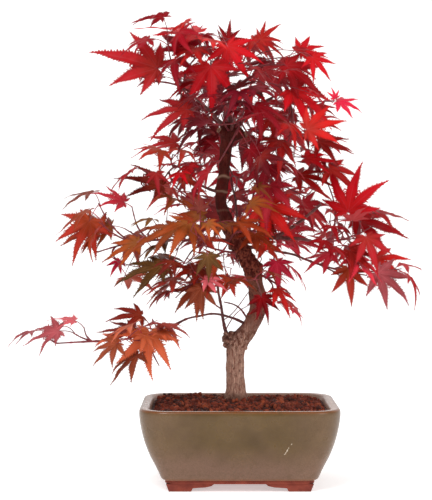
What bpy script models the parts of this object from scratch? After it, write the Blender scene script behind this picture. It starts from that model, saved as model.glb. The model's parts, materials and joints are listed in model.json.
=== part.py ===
"""Japanese maple bonsai: a leaning trunk with boughs and masses of red leaves, in a rectangular pot.

Sizes are in millimetres and every mesh is written in metres. +Z is up, the front of the pot
faces -Y and the crown reaches furthest along -X.
"""

import math
import random
from typing import NamedTuple

import bmesh
import bpy
from mathutils import Matrix, Vector, noise
from mathutils.bvhtree import BVHTree

METRES = 0.001
GAP = 0.3  # clearance between neighbouring pieces
UP = Vector((0.0, 0.0, 1.0))

# The pieces are drawn about the pot's centre; the frame's origin is under the whole plant's middle.
POT_CENTRE = (24.3, -12.4)

# Pot: a glazed bowl on a bare clay band and four corner feet
FOOT_HEIGHT = 7.6
FOOT_STEP = 3.4  # height of the step cut in each foot
FOOT_LONG = (24.0, 46.0)  # standing part and whole leg, along the pot's long side
FOOT_SHORT = (22.0, 40.0)  # the same along its short side
FOOT_WIDE = 13.0
FOOT_DRAFT = 2.6  # how far a foot's outer faces lean in, from the band down to its sole
BAND_BOTTOM = 7.9
BAND_TOP = 11.2
BAND_SIZE = (144.6, 115.0)
BAND_CORNER = 12.0
FOOT_CORNERS = (71.0, 56.2)
POT_LENGTH = 195.0
POT_WIDTH = 145.0
POT_CORNER = 29.0
CAVITY_FLOOR = 22.0
CAVITY_DRAFT = 15.0  # how much the cavity narrows on each side, from rim to floor
# Height and inset from the pot's widest outline, on each side, from the foot of the bowl up
POT_PROFILE = (
    (11.5, 22.6),
    (14.0, 20.9),
    (19.0, 18.6),
    (26.0, 15.0),
    (34.0, 10.6),
    (44.0, 6.4),
    (54.0, 3.3),
    (64.0, 1.1),
    (74.0, 0.0),
    (77.6, 0.2),
    (79.1, 1.3),
)
POT_FRONT_SHARE = 0.56  # the front and back lean in less than the ends
# Height and inset over the rim, from its outer edge to the top of the cavity
RIM_PROFILE = ((79.6, 3.4), (79.5, 7.2), (78.6, 9.0), (77.4, 9.7))
CORNER_STEPS = 5

# Soil: a low mound that the trunk stands on
SOIL_EDGE = 74.6
SOIL_CROWN = 80.7
SOIL_FLAT = 18.0  # radius of the level place under the trunk
SOIL_LUMP = 1.6
SOIL_RINGS = 7

# Trunk: height, sideways place, depth and radius at each bend, from the soil up
TRUNK_BENDS = (
    (81.0, -3.0, 4.0, 11.4),
    (92.0, -3.0, 4.0, 9.8),
    (115.0, -4.0, 3.5, 9.0),
    (129.0, -3.3, 3.0, 9.5),
    (139.0, -0.5, 2.0, 9.8),
    (157.0, 11.0, 0.0, 8.6),
    (168.0, 17.4, -2.0, 8.6),
    (179.0, 18.8, -4.0, 8.5),
    (204.0, 14.8, -6.0, 8.0),
    (224.0, 6.5, -6.0, 8.8),
    (242.0, -4.0, -4.0, 9.6),
    (253.0, -9.5, -3.0, 8.0),
    (267.0, -14.5, -1.0, 6.3),
    (280.0, -18.0, 1.0, 5.6),
    (304.0, -15.4, 4.0, 5.8),
    (338.0, -12.3, 2.0, 6.4),
    (352.0, -6.5, 0.5, 8.6),
)
TRUNK_SIDES = 12
TRUNK_STEP = 8.5
TRUNK_CAP = (5.5, 0.62)  # height of the rounded top and its share of the last radius
BARK_SWELL = 0.45


class Knot(NamedTuple):
    """An old wound or callus: its height, compass angle, how far it stands out, and its spread."""

    height: float
    angle: float
    swell: float
    spread: float


KNOTS = (
    Knot(83.0, 205.0, 1.8, 7.0),
    Knot(83.0, 330.0, 1.6, 7.0),
    Knot(84.0, 80.0, 1.6, 8.0),
    Knot(145.0, 188.0, 9.0, 6.6),
    Knot(212.0, 5.0, 4.2, 6.0),
    Knot(236.0, 250.0, 2.0, 7.0),
    Knot(226.0, 300.0, 1.8, 5.0),
    Knot(247.0, 10.0, 2.4, 6.0),
    Knot(292.0, 180.0, 1.2, 3.5),
    Knot(188.0, 230.0, 1.6, 5.0),
    Knot(350.0, 190.0, 5.0, 6.0),
    Knot(351.0, 345.0, 5.5, 6.5),
    Knot(352.0, 90.0, 2.5, 6.0),
)


class Stub(NamedTuple):
    """A cut branch: its height on the trunk, compass angle, rise, length and radius."""

    height: float
    angle: float
    rise: float
    length: float
    radius: float


STUBS = (
    Stub(346.0, 228.0, 20.0, 16.0, 2.8),
    Stub(344.0, 334.0, 10.0, 20.0, 3.2),
    Stub(203.0, 110.0, 30.0, 14.0, 2.0),
)


class Bough(NamedTuple):
    """One tapering limb.

    It leaves its parent at a height on the trunk, or at a share of a bough's length, and runs to its
    tip in an arc whose middle stands off the straight line by bow.
    """

    name: str
    parent: str
    at: float
    tip: tuple
    bow: tuple
    radii: tuple


BOUGHS = (
    Bough("low_left_bough", "trunk", 156.0, (-64.0, -24.0, 157.0), (0.0, 2.0, 12.0), (2.0, 1.3)),
    Bough("far_left_bough", "low_left_bough", 0.8, (-134.0, -28.0, 143.0), (0.0, 8.0, -6.0), (1.2, 0.9)),
    Bough("knob_bough", "trunk", 143.0, (-21.7, 5.0, 201.0), (-9.0, 6.0, 0.0), (2.0, 1.4)),
    Bough("left_bough", "trunk", 240.0, (-73.0, -20.0, 242.0), (0.0, -2.0, 1.0), (1.9, 1.4)),
    Bough("right_bough", "trunk", 239.0, (71.0, -12.0, 241.0), (2.0, -2.0, 3.5), (2.7, 1.7)),
    Bough("right_cut_bough", "right_bough", 0.52, (80.0, -24.0, 277.0), (-1.0, 0.0, -2.0), (2.0, 1.6)),
    Bough("right_low_bough", "trunk", 234.0, (67.0, 12.0, 222.0), (0.0, 2.0, 4.0), (1.9, 1.3)),
    Bough("right_whip", "right_bough", 0.24, (18.0, 10.0, 298.0), (-3.0, 4.0, 0.0), (1.6, 1.2)),
    Bough("inner_whip", "trunk", 244.0, (-6.5, 26.0, 296.0), (4.0, 8.0, -4.0), (1.6, 1.2)),
    Bough("crown_left_bough", "trunk", 350.0, (-45.5, -10.0, 385.0), (-3.0, 0.0, 3.0), (2.3, 1.5)),
    Bough("crown_centre_bough", "trunk", 352.0, (-11.0, 2.0, 401.0), (-1.0, 0.0, 0.0), (2.3, 1.6)),
    Bough("crown_right_bough", "trunk", 351.0, (34.0, -4.0, 384.0), (0.0, 2.0, 2.0), (2.4, 1.5)),
    Bough("crown_back_bough", "trunk", 349.0, (4.0, 48.0, 371.0), (2.0, 0.0, 4.0), (2.1, 1.4)),
    Bough("crown_front_bough", "trunk", 347.0, (-1.0, -44.0, 360.0), (0.0, 0.0, 5.0), (1.9, 1.3)),
    Bough("back_bough", "trunk", 236.0, (12.0, 52.0, 250.0), (3.0, 0.0, 3.0), (2.0, 1.4)),
    Bough("left_upper_bough", "trunk", 288.0, (-57.0, 0.0, 312.0), (-3.0, -2.0, -3.0), (1.6, 1.2)),
)
BOUGH_SIDES = 5
BOUGH_STEP = 12.0
BOUGH_KINK = 0.7  # how far each joint of a limb strays


class Lead(NamedTuple):
    """A leading leaf at the crown's edge: its blade's foot, where its tip points, its face and size."""

    foot: tuple
    aim: tuple
    face: tuple
    size: float


class Mass(NamedTuple):
    """A mass of leaves: the limb it grows from, its space, its seed and how many leaves it holds."""

    name: str
    limb: str
    at: float
    centre: tuple
    reach: tuple
    seed: int
    leaves: int
    shoots: int


MASSES = (
    Mass("far_left_leaves", "far_left_bough", 1.0, (-180.0, -24.0, 147.0), (56.0, 42.0, 34.0), 36, 4, 1),
    Mass("low_left_leaves", "low_left_bough", 1.0, (-91.0, -38.0, 142.0), (56.0, 54.0, 50.0), 1, 7, 3),
    Mass("knob_leaves", "knob_bough", 1.0, (-52.0, -25.0, 194.0), (44.0, 46.0, 32.0), 20, 6, 2),
    Mass("left_leaves", "left_bough", 1.0, (-129.0, -22.0, 240.0), (64.0, 56.0, 60.0), 31, 10, 4),
    Mass("left_inner_leaves", "trunk", 228.0, (-60.0, -50.0, 236.0), (70.0, 56.0, 62.0), 23, 10, 4),
    Mass("left_upper_leaves", "left_upper_bough", 1.0, (-76.0, -8.0, 313.0), (58.0, 60.0, 48.0), 11, 10, 4),
    Mass("crown_left_leaves", "crown_left_bough", 1.0, (-84.0, -18.0, 406.0), (76.0, 64.0, 68.0), 80, 11, 4),
    Mass("top_leaves", "crown_centre_bough", 1.0, (8.0, -6.0, 410.0), (92.0, 66.0, 56.0), 71, 14, 6),
    Mass("crown_right_leaves", "crown_right_bough", 1.0, (66.0, -18.0, 350.0), (70.0, 68.0, 66.0), 87, 12, 5),
    Mass("right_inner_leaves", "right_whip", 1.0, (44.0, -4.0, 282.0), (58.0, 66.0, 60.0), 4, 10, 4),
    Mass("right_leaves", "right_bough", 1.0, (120.0, -12.0, 266.0), (70.0, 64.0, 72.0), 40, 11, 4),
    Mass("right_low_leaves", "right_low_bough", 1.0, (124.0, 2.0, 208.0), (70.0, 56.0, 46.0), 34, 7, 3),
    Mass("front_leaves", "trunk", 248.0, (2.0, -50.0, 250.0), (60.0, 60.0, 56.0), 38, 6, 3),
    Mass("low_centre_leaves", "trunk", 212.0, (42.0, -14.0, 197.0), (38.0, 48.0, 42.0), 31, 5, 2),
    Mass("crown_front_leaves", "crown_front_bough", 1.0, (-4.0, -78.0, 336.0), (62.0, 48.0, 60.0), 68, 10, 4),
    Mass("inner_leaves", "inner_whip", 1.0, (-2.0, 60.0, 304.0), (60.0, 50.0, 56.0), 17, 7, 3),
    Mass("crown_back_leaves", "crown_back_bough", 1.0, (6.0, 92.0, 369.0), (84.0, 52.0, 70.0), 23, 9, 4),
    Mass("back_leaves", "back_bough", 1.0, (14.0, 98.0, 249.0), (92.0, 50.0, 64.0), 62, 9, 4),
)

LEADS = {
    "far_left_leaves": (
        Lead((-177.0, -30.0, 153.0), (-1.0, 0.0, -0.3), (0.1, -0.5, 0.85), 40.0),
        Lead((-162.0, -25.0, 163.0), (-1.0, 0.0, 0.05), (0.1, -0.4, 0.9), 28.0),
    ),
    "low_left_leaves": (
        Lead((-87.0, -46.0, 153.0), (-0.1, -0.3, -1.0), (0.0, -1.0, 0.35), 48.0),
        Lead((-80.0, -22.0, 170.0), (-1.0, -0.1, 0.1), (0.0, -0.35, 0.9), 34.0),
    ),
    "left_leaves": (
        Lead((-147.0, -25.0, 261.0), (-0.42, -0.2, -0.9), (-0.1, -1.0, 0.25), 51.0),
        Lead((-114.0, -20.0, 279.0), (-0.95, 0.0, 0.3), (0.2, -0.5, 0.85), 38.0),
        Lead((-99.0, -38.0, 240.0), (-0.85, -0.1, -0.4), (0.0, -0.6, 0.8), 44.0),
    ),
    "left_inner_leaves": (
        Lead((-61.0, -54.0, 254.0), (-0.95, -0.2, -0.25), (0.0, -0.5, 0.85), 54.0),
        Lead((-75.0, -62.0, 217.0), (-0.95, -0.25, -0.15), (0.0, -0.5, 0.9), 52.0),
        Lead((-38.0, -56.0, 226.0), (-0.9, -0.1, 0.05), (0.0, -0.75, 0.6), 32.0),
    ),
    "left_upper_leaves": (
        Lead((-77.0, -15.0, 296.0), (-0.95, -0.1, 0.25), (0.1, -0.75, 0.6), 50.0),
        Lead((-63.0, -10.0, 338.0), (-1.0, 0.0, 0.05), (0.1, -0.6, 0.8), 44.0),
    ),
    "crown_left_leaves": (
        Lead((-80.0, -25.0, 410.0), (-0.93, -0.05, 0.36), (0.25, -0.9, 0.3), 68.0),
        Lead((-42.0, -15.0, 446.0), (-0.97, 0.05, 0.22), (0.15, -0.45, 0.9), 62.0),
        Lead((-51.0, -30.0, 369.0), (-1.0, -0.1, 0.0), (0.1, -0.7, 0.7), 46.0),
    ),
    "top_leaves": (
        Lead((-12.0, -30.0, 431.0), (0.5, -0.35, -0.75), (0.0, -0.85, 0.5), 44.0),
        Lead((46.0, -20.0, 413.0), (0.8, -0.1, -0.55), (0.1, -0.85, 0.5), 46.0),
        Lead((-28.0, -42.0, 410.0), (0.05, -0.35, -0.9), (0.0, -0.9, 0.4), 50.0),
        Lead((62.0, 10.0, 431.0), (0.8, 0.2, 0.35), (0.1, -0.8, 0.5), 33.0),
    ),
    "crown_right_leaves": (
        Lead((51.0, -24.0, 389.0), (0.85, -0.1, -0.5), (0.0, -0.75, 0.65), 54.0),
        Lead((64.0, -56.0, 348.0), (0.93, -0.1, 0.3), (0.0, -0.92, 0.4), 44.0),
        Lead((65.0, -20.0, 322.0), (1.0, 0.0, -0.05), (0.0, -0.55, 0.85), 42.0),
        Lead((97.0, -20.0, 378.0), (0.95, -0.1, -0.25), (0.0, -0.5, 0.85), 28.0),
    ),
    "right_inner_leaves": (
        Lead((25.0, -30.0, 276.0), (0.6, -0.3, -0.7), (0.0, -0.9, 0.4), 50.0),
    ),
    "right_leaves": (
        Lead((107.0, -24.0, 270.0), (0.12, -0.1, 0.98), (-0.5, -0.85, 0.0), 52.0),
        Lead((117.0, 10.0, 262.0), (0.97, 0.0, -0.2), (0.0, -0.75, 0.65), 58.0),
        Lead((123.0, -34.0, 245.0), (0.3, -0.4, -0.85), (0.1, -0.9, 0.4), 38.0),
        Lead((90.0, -5.0, 313.0), (0.75, -0.1, -0.6), (0.0, -0.8, 0.6), 38.0),
    ),
    "right_low_leaves": (
        Lead((137.0, -15.0, 209.0), (0.75, -0.15, -0.6), (0.0, -0.85, 0.55), 46.0),
        Lead((107.0, -25.0, 214.0), (0.1, -0.3, -0.9), (0.0, -0.9, 0.4), 38.0),
        Lead((136.0, 8.0, 222.0), (0.9, 0.0, 0.15), (0.0, -0.65, 0.75), 37.0),
    ),
    "front_leaves": (
        Lead((-2.0, -58.0, 259.0), (0.8, -0.3, -0.25), (0.0, -0.65, 0.75), 38.0),
    ),
    "low_centre_leaves": (
        Lead((36.0, -30.0, 221.0), (0.1, -0.3, -0.9), (0.0, -0.9, 0.35), 34.0),
        Lead((14.0, -36.0, 202.0), (0.85, -0.25, -0.4), (0.0, -0.55, 0.8), 40.0),
    ),
}

# Twigs: three-sided shoots with leaves in opposite pairs
TWIG_RADII = (1.25, 1.0)
STEM_RADIUS = 1.45
STEM_SINK = 1.5  # a stem from the trunk begins this deep, and is then cut clear of the bark
STEM_GAP = 0.7  # from a bough's tip to its stem's middle, so that their edges stay clear
TWIG_SIDES = 3
NODE_GAP = 24.0
SHOOT_DEPTH = (0.34, 0.66)  # how near the edge of the space a shoot's tip comes
TRIES = 12
LEAD_TRIES = 24
STEM_TRIES = 40
SHRINK = 0.96  # a leaf that found no room is tried again a little smaller
CLEAR = 0.5  # guard distance round a leaf or twig
ROOT_SHARE = 0.22  # the share of a stalk, next to its twig, that may touch its own mass

# A leaf's half outline: angle from the middle lobe and distance from the foot, in shares of its size
HALF_LEAF = (
    (14.5, 0.48),
    (20.0, 0.30),
    (26.5, 0.44),
    (38.0, 0.86),
    (51.0, 0.43),
    (57.0, 0.28),
    (79.0, 0.62),
    (98.0, 0.34),
    (128.0, 0.04),
)
LEAF_SIZES = (36.0, 60.0)
LEAF_THICK = 0.026  # share of the size, at the foot of the blade
LEAF_DROOP = (0.05, 0.30)
LEAF_FALL = (-0.15, 0.75)  # how far a blade points down
LEAF_LEAN = (-0.1, 0.6)  # how far its face leans outwards
LEAF_ROLL = 22.0  # degrees that it rolls about its length
LEAD_DROOP = 0.12
# Spaces kept free of leaves, so that the trunk shows: middle and reach
CLEARINGS = (
    ((-15.0, -58.0, 306.0), (11.0, 60.0, 42.0)),
    ((-1.0, -58.0, 222.0), (11.0, 56.0, 11.0)),
)
STALK_LENGTH = (0.36, 0.62)
STALK_RADIUS = 0.34
NODE_STEP = 2.0  # how far the leaves of one node stand apart along their twig
TIP_SINK = 1.2  # how far short of a twig's end its last leaves stand
STALK_BEND = 0.25  # least cosine between a stalk and its blade


def mix(a, b, share):
    """The value that lies this share of the way from a to b."""
    return a + (b - a) * share


def spline(rows, step):
    """Points every step along a smooth curve through the rows, each (place, radius)."""
    points = []
    for i in range(len(rows) - 1):
        before = rows[max(i - 1, 0)]
        start, end = rows[i], rows[i + 1]
        after = rows[min(i + 2, len(rows) - 1)]
        count = max(1, round((end[0] - start[0]).length / step))
        for j in range(count):
            t = j / count
            place = 0.5 * (
                2 * start[0]
                + (end[0] - before[0]) * t
                + (2 * before[0] - 5 * start[0] + 4 * end[0] - after[0]) * t * t
                + (3 * start[0] - before[0] - 3 * end[0] + after[0]) * t**3
            )
            points.append((place, mix(start[1], end[1], t)))
    points.append(rows[-1])
    return points


def trunk_line(step=TRUNK_STEP):
    """The trunk's centre line with its radius, from the soil to the knuckle at its top."""
    rows = [(Vector((x, y, z)), radius) for z, x, y, radius in TRUNK_BENDS]
    return spline(rows, step)


def trunk_at(height):
    """Place, heading and radius on the trunk's centre line at this height."""
    line = trunk_line(2.0)
    index = min(range(1, len(line)), key=lambda i: abs(line[i][0].z - height))
    heading = (line[index][0] - line[index - 1][0]).normalized()
    return line[index][0], heading, line[index][1]


def trunk_radius(place, radius, direction):
    """The trunk's radius on one side of its centre line: root flare, knots and uneven bark."""
    swell = 0.0
    angle = math.degrees(math.atan2(direction.y, direction.x))
    for knot in KNOTS:
        rise = (place.z - knot.height) / knot.spread
        turn = math.radians((angle - knot.angle + 180) % 360 - 180) * radius / knot.spread
        swell += knot.swell * math.exp(-(rise * rise) - turn * turn)
    uneven = noise.noise((place + direction * radius) * 0.11) * BARK_SWELL * 2
    return radius + swell + uneven


def frames(points):
    """A pair of cross directions at each point of a line, turned as little as possible."""
    headings = []
    for i in range(len(points)):
        ahead = points[min(i + 1, len(points) - 1)] - points[max(i - 1, 0)]
        headings.append(ahead.normalized())
    first = headings[0].orthogonal().normalized()
    if abs(headings[0].z) > 0.9:
        first = Vector((1.0, 0.0, 0.0))
    pairs = []
    for heading in headings:
        first = (first - heading * first.dot(heading)).normalized()
        pairs.append((first, heading.cross(first)))
    return pairs


def tube(points, radii, sides, radius_at=None):
    """A closed tube's vertices and faces along a line."""
    verts = []
    faces = []
    for (place, pair), radius in zip(zip(points, frames(points)), radii):
        for k in range(sides):
            turn = math.tau * k / sides
            out = pair[0] * math.cos(turn) + pair[1] * math.sin(turn)
            reach = radius_at(place, radius, out) if radius_at else radius
            verts.append(place + out * reach)
    for i in range(len(points) - 1):
        for k in range(sides):
            nxt = (k + 1) % sides
            a, b = i * sides, (i + 1) * sides
            faces.append((a + k, a + nxt, b + nxt, b + k))
    last = (len(points) - 1) * sides
    faces.append(tuple(range(sides - 1, -1, -1)))
    faces.append(tuple(range(last, last + sides)))
    return verts, faces


def bough_line(bough, lines):
    """The limb's points and radii, from its parent's centre line to its tip."""
    if bough.parent == "trunk":
        start = trunk_at(bough.at)[0]
    else:
        parent = lines[bough.parent][0]
        start = parent[round(bough.at * (len(parent) - 1))]
    tip, bow = Vector(bough.tip), Vector(bough.bow)
    count = max(4, round((tip - start).length / BOUGH_STEP))
    rng = random.Random(bough.name)
    points, radii = [], []
    for i in range(count + 1):
        t = i / count
        stray = Vector([rng.uniform(-BOUGH_KINK, BOUGH_KINK) for _ in range(3)])
        stray *= 0.0 if i in (0, count) else 1.0
        points.append(start.lerp(tip, t) + bow * 4 * t * (1 - t) + stray)
        radii.append(mix(bough.radii[0], bough.radii[1], t))
    return points, radii


def leaf(foot, aim, face, size, droop, root, thick=1.0, grow=0.0):
    """A palmate leaf and its stalk as one closed mesh, from the blade's tip to the twig."""
    aim = aim.normalized()
    side = face.cross(aim).normalized()
    normal = aim.cross(side)
    polar = [(-a, r) for a, r in reversed(HALF_LEAF)] + [(0.0, 1.0)] + list(HALF_LEAF)
    verts = []
    for angle, reach in polar:
        turn, reach = math.radians(angle), reach * size + grow
        sink = -droop * reach * reach / size
        verts.append(foot + aim * reach * math.cos(turn) + side * reach * math.sin(turn) + normal * sink)
    count = len(verts)
    half = size * LEAF_THICK * thick / 2 + grow
    verts += [foot + normal * half, foot - normal * half]
    faces = [(count, i, i + 1) for i in range(count - 1)]
    faces += [(count + 1, i + 1, i) for i in range(count - 1)]
    along = (foot - root).normalized()
    across = (side - along * side.dot(along)).normalized() * (STALK_RADIUS + grow)
    over = along.cross(across)
    verts += [root + over, root - across, root - over, root + across]
    blade = (count, 0, count + 1, count - 1)
    stalk = range(count + 2, count + 6)
    for i in range(4):
        j = (i + 1) % 4
        faces.append((blade[j], blade[i], stalk[i], stalk[j]))
    faces.append(tuple(reversed(stalk)))
    return verts, faces


class Thicket:
    """What has grown so far: each piece with its owner, box and search tree, to test new growth against."""

    def __init__(self):
        self.pieces = []

    def add(self, mesh, owner):
        verts, faces = mesh
        tree = BVHTree.FromPolygons(verts, faces)
        low = Vector([min(v[i] for v in verts) for i in range(3)])
        high = Vector([max(v[i] for v in verts) for i in range(3)])
        self.pieces.append((owner, low, high, tree))

    def meets(self, mesh, friend=None):
        """True where the mesh cuts a piece, those of the friend left out."""
        verts, faces = mesh
        low = Vector([min(v[i] for v in verts) for i in range(3)])
        high = Vector([max(v[i] for v in verts) for i in range(3)])
        tree = None
        for owner, other_low, other_high, other in self.pieces:
            apart = any(low[i] > other_high[i] or high[i] < other_low[i] for i in range(3))
            if apart or owner == friend:
                continue
            tree = tree or BVHTree.FromPolygons(verts, faces)
            if tree.overlap(other):
                return True
        return False


def inside(mass, points, slack=1.0):
    """True where all the points lie in the mass's own space."""
    for point in points:
        away = [(point[i] - mass.centre[i]) / (mass.reach[i] * slack) for i in range(3)]
        if sum(a**4 for a in away) > 1.0:
            return False
    return True


def in_clearing(blade, foot):
    """True where a blade reaches into one of the clearings."""
    points = blade + [point.lerp(foot, share) for point in blade for share in (0.35, 0.7)]
    for middle, reach in CLEARINGS:
        for point in points:
            if all(abs(point[i] - middle[i]) < reach[i] for i in range(3)):
                return True
    return False


def arc(start, heading, tip, count):
    """Points from start to tip that leave along the heading."""
    knee = start + heading * (tip - start).length * 0.45
    points = []
    for i in range(count + 1):
        t = i / count
        points.append(start * (1 - t) ** 2 + knee * 2 * t * (1 - t) + tip * t * t)
    return points


class Twig(NamedTuple):
    """A shoot: its points and radii."""

    points: list
    radii: list


class Leaf(NamedTuple):
    """One leaf: the blade's foot, where it points and faces, its size, its droop and its root."""

    foot: Vector
    aim: Vector
    face: Vector
    size: float
    droop: float
    root: Vector


class Growth:
    """Grows one mass of leaves by a seeded rule: a stem, shoots from it, and leaves in pairs."""

    def __init__(self, mass, start, heading, thicket):
        self.mass = mass
        self.thicket = thicket
        self.twigs = []
        self.leaves = []
        self.rng = random.Random(mass.name)
        self.stem = None
        for _ in range(STEM_TRIES):
            hub = Vector([c + self.rng.uniform(-0.25, 0.25) * r for c, r in zip(mass.centre, mass.reach)])
            self.stem = self.stem or self.grow_twig(arc(start, heading, hub, 4), (STEM_RADIUS, TWIG_RADII[0]))
        if not self.stem:
            raise ValueError(f"{mass.name}: the stem finds no way through")
        for lead in LEADS.get(mass.name, ()):
            self.grow_lead(lead)

    def grow_twig(self, points, ends):
        """Adds a twig unless it would touch a limb or a leaf."""
        last = len(points) - 1
        radii = [mix(ends[0], ends[1], i / last) for i in range(last + 1)]
        thick = [r + CLEAR for r in radii]
        mesh = tube(points, thick, TWIG_SIDES)
        beyond_root = tube(points[1:], thick[1:], TWIG_SIDES)
        if self.thicket.meets(beyond_root) or (self.twigs and self.thicket.meets(mesh, self.mass.name)):
            return None
        twig = Twig(points, radii)
        self.twigs.append(twig)
        self.thicket.add(mesh, self.mass.name)
        return twig

    def grow_leaf(self, spot):
        """Adds a leaf unless it would leave the space or touch what has grown."""
        mesh = leaf(*spot, grow=CLEAR)
        blade = mesh[0][: len(HALF_LEAF) * 2 + 1]
        if not inside(self.mass, blade) or in_clearing(blade, spot.foot):
            return False
        beyond_root = leaf(*spot[:5], spot.root.lerp(spot.foot, ROOT_SHARE), grow=CLEAR)
        if self.thicket.meets(beyond_root) or self.thicket.meets(mesh, self.mass.name):
            return False
        self.leaves.append(spot)
        self.thicket.add(mesh, self.mass.name)
        return True

    def draw_leaf(self, node, ahead, sideways, size):
        """A leaf drawn at random about a node: stalk outwards, blade hanging out and down."""
        rng = self.rng
        outward = Vector((node.x, node.y, 0.0))
        outward = outward.normalized() if outward.length > 1 else Vector(sideways)
        stray = Vector([rng.gauss(0.0, 0.25) for _ in range(3)])
        stalk = (ahead * 0.55 + sideways * 0.75 + UP * 0.18 + outward * 0.25 + stray).normalized()
        foot = node + stalk * size * rng.uniform(*STALK_LENGTH)
        flat = Vector((stalk.x, stalk.y, 0.0)) + outward * 0.45
        aim = (flat.normalized() - UP * rng.uniform(*LEAF_FALL) + stray * 0.5).normalized()
        if aim.dot(stalk) < STALK_BEND:
            aim = (aim + stalk * 2 * (STALK_BEND - aim.dot(stalk))).normalized()
        face = UP + outward * rng.uniform(*LEAF_LEAN)
        face.rotate(Matrix.Rotation(math.radians(rng.gauss(0.0, LEAF_ROLL)), 3, aim))
        if abs(face.normalized().dot(aim)) > 0.93:
            face = aim.orthogonal()
        return Leaf(foot, aim, face, size, rng.uniform(*LEAF_DROOP), node)

    def dress(self, twig):
        """Leaves in opposite pairs along a twig, each pair turned from the last, and one at its tip."""
        rng = self.rng
        points = twig.points
        length = sum((b - a).length for a, b in zip(points, points[1:]))
        nodes = max(1, round(length / NODE_GAP))
        turn = rng.uniform(0.0, math.pi)
        for k in range(nodes, 0, -1):
            share = (k - 0.12) / nodes if k < nodes else 1.0
            place = share * (len(points) - 1)
            i = min(int(place), len(points) - 2)
            ahead = (points[i + 1] - points[i]).normalized()
            node = points[i].lerp(points[i + 1], place - i) - ahead * TIP_SINK
            cross = ahead.orthogonal().normalized()
            sideways = cross * math.cos(turn) + ahead.cross(cross) * math.sin(turn)
            turn += math.pi / 2 + rng.uniform(-0.3, 0.3)
            for side in (ahead, sideways, -sideways) if k == nodes else (sideways, -sideways):
                node -= ahead * NODE_STEP
                low, high = LEAF_SIZES
                size = rng.triangular(low, high, mix(low, high, 0.55)) * (0.85 if k == nodes else 1.0)
                for _ in range(TRIES):
                    if len(self.leaves) >= self.mass.leaves:
                        return
                    if self.grow_leaf(self.draw_leaf(node, ahead, side, size)):
                        break
                    size *= SHRINK

    def target(self, i, count, phase):
        """Where a shoot aims: spread evenly over the space by the golden angle."""
        rng = self.rng
        depth = rng.uniform(*SHOOT_DEPTH)
        height = 1 - 2 * (i + 0.5) / count + rng.uniform(-0.15, 0.15)
        height = max(-0.9, min(0.9, height))
        turn = phase + i * math.pi * (3 - math.sqrt(5))
        ring = math.sqrt(1 - height * height)
        away = (ring * math.cos(turn), ring * math.sin(turn), height)
        return Vector([c + a * depth * r for c, a, r in zip(self.mass.centre, away, self.mass.reach)])

    def shoot(self, tip, stray):
        """A twig from the stem to a tip, tried from several places, or None."""
        rng = self.rng
        points = self.stem.points
        for _ in range(TRIES):
            near = min(range(1, len(points)), key=lambda i: (points[i] - tip).length)
            index = max(1, near - rng.choice((0, 1, 1, 2)))
            start = points[index]
            aimed = tip + Vector([rng.uniform(-stray, stray) for _ in range(3)])
            ahead = (points[index] - points[index - 1]).normalized()
            heading = (ahead + (aimed - start).normalized() + UP * 0.2).normalized()
            count = max(2, min(4, round((aimed - start).length / 20.0)))
            twig = self.grow_twig(arc(start, heading, aimed, count), TWIG_RADII)
            if twig:
                return twig
        return None

    def grow_lead(self, lead):
        """A leading leaf on a twig of its own, which comes up behind its blade."""
        rng = self.rng
        foot, size = Vector(lead.foot), lead.size
        aim, face = Vector(lead.aim).normalized(), Vector(lead.face).normalized()
        for _ in range(LEAD_TRIES):
            twigs, pieces = len(self.twigs), len(self.thicket.pieces)
            back = aim * rng.uniform(0.3, 0.6) + face * rng.uniform(0.0, 0.35) - UP * rng.uniform(-0.1, 0.2)
            twig = self.shoot(foot - back * size, 3.0)
            if not twig:
                continue
            ahead = (twig.points[-1] - twig.points[-2]).normalized()
            root = twig.points[-1] - ahead * TIP_SINK
            if self.grow_leaf(Leaf(foot, aim, face, size, LEAD_DROOP, root)):
                return
            del self.twigs[twigs:], self.thicket.pieces[pieces:]

    def fill(self):
        """The shoots that fill the space, then leaves on every twig that has room."""
        self.rng = random.Random(f"{self.mass.name} {self.mass.seed}")
        phase = self.rng.uniform(0.0, math.tau)
        leading = self.twigs[1:]
        for i in range(self.mass.shoots):
            twig = self.shoot(self.target(i, self.mass.shoots, phase), 6.0)
            if twig:
                self.dress(twig)
        for twig in leading + self.twigs[:1]:
            if len(self.leaves) < self.mass.leaves:
                self.dress(twig)


def limb_lines():
    """The centre lines and radii of the trunk and every bough."""
    line = trunk_line()
    lines = {"trunk": ([p for p, _ in line], [r for _, r in line])}
    for bough in BOUGHS:
        lines[bough.name] = bough_line(bough, lines)
    return lines


def limb_mesh(name, lines, grow=0.0):
    """The closed mesh of the trunk or of a bough, thicker by grow."""
    points, radii = lines[name]
    if name != "trunk":
        return tube(points, [r + grow for r in radii], BOUGH_SIDES)
    cap, share = TRUNK_CAP
    ahead = (points[-1] - points[-2]).normalized()
    points = points + [points[-1] + ahead * (cap + grow)]
    radii = radii + [radii[-1] * share]
    verts, faces = tube(
        points, radii, TRUNK_SIDES, lambda place, radius, out: trunk_radius(place, radius, out) + grow
    )
    for vert in verts[:TRUNK_SIDES]:
        vert.z = TRUNK_BENDS[0][0] - grow
    return verts, faces


def mass_start(mass, lines):
    """Where a mass's stem begins, clear of its bough's tip or sunk in the bark, and its heading."""
    if mass.limb == "trunk":
        place = trunk_at(mass.at)[0]
        heading = (Vector(mass.centre) - place).normalized()
        bark = BVHTree.FromPolygons(*limb_mesh("trunk", lines))
        reach = bark.ray_cast(place, heading)[3]
        return place + heading * (reach - STEM_SINK), heading
    points = lines[mass.limb][0]
    heading = (points[-1] - points[-2]).normalized()
    return points[-1] + heading * STEM_GAP, heading


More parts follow.
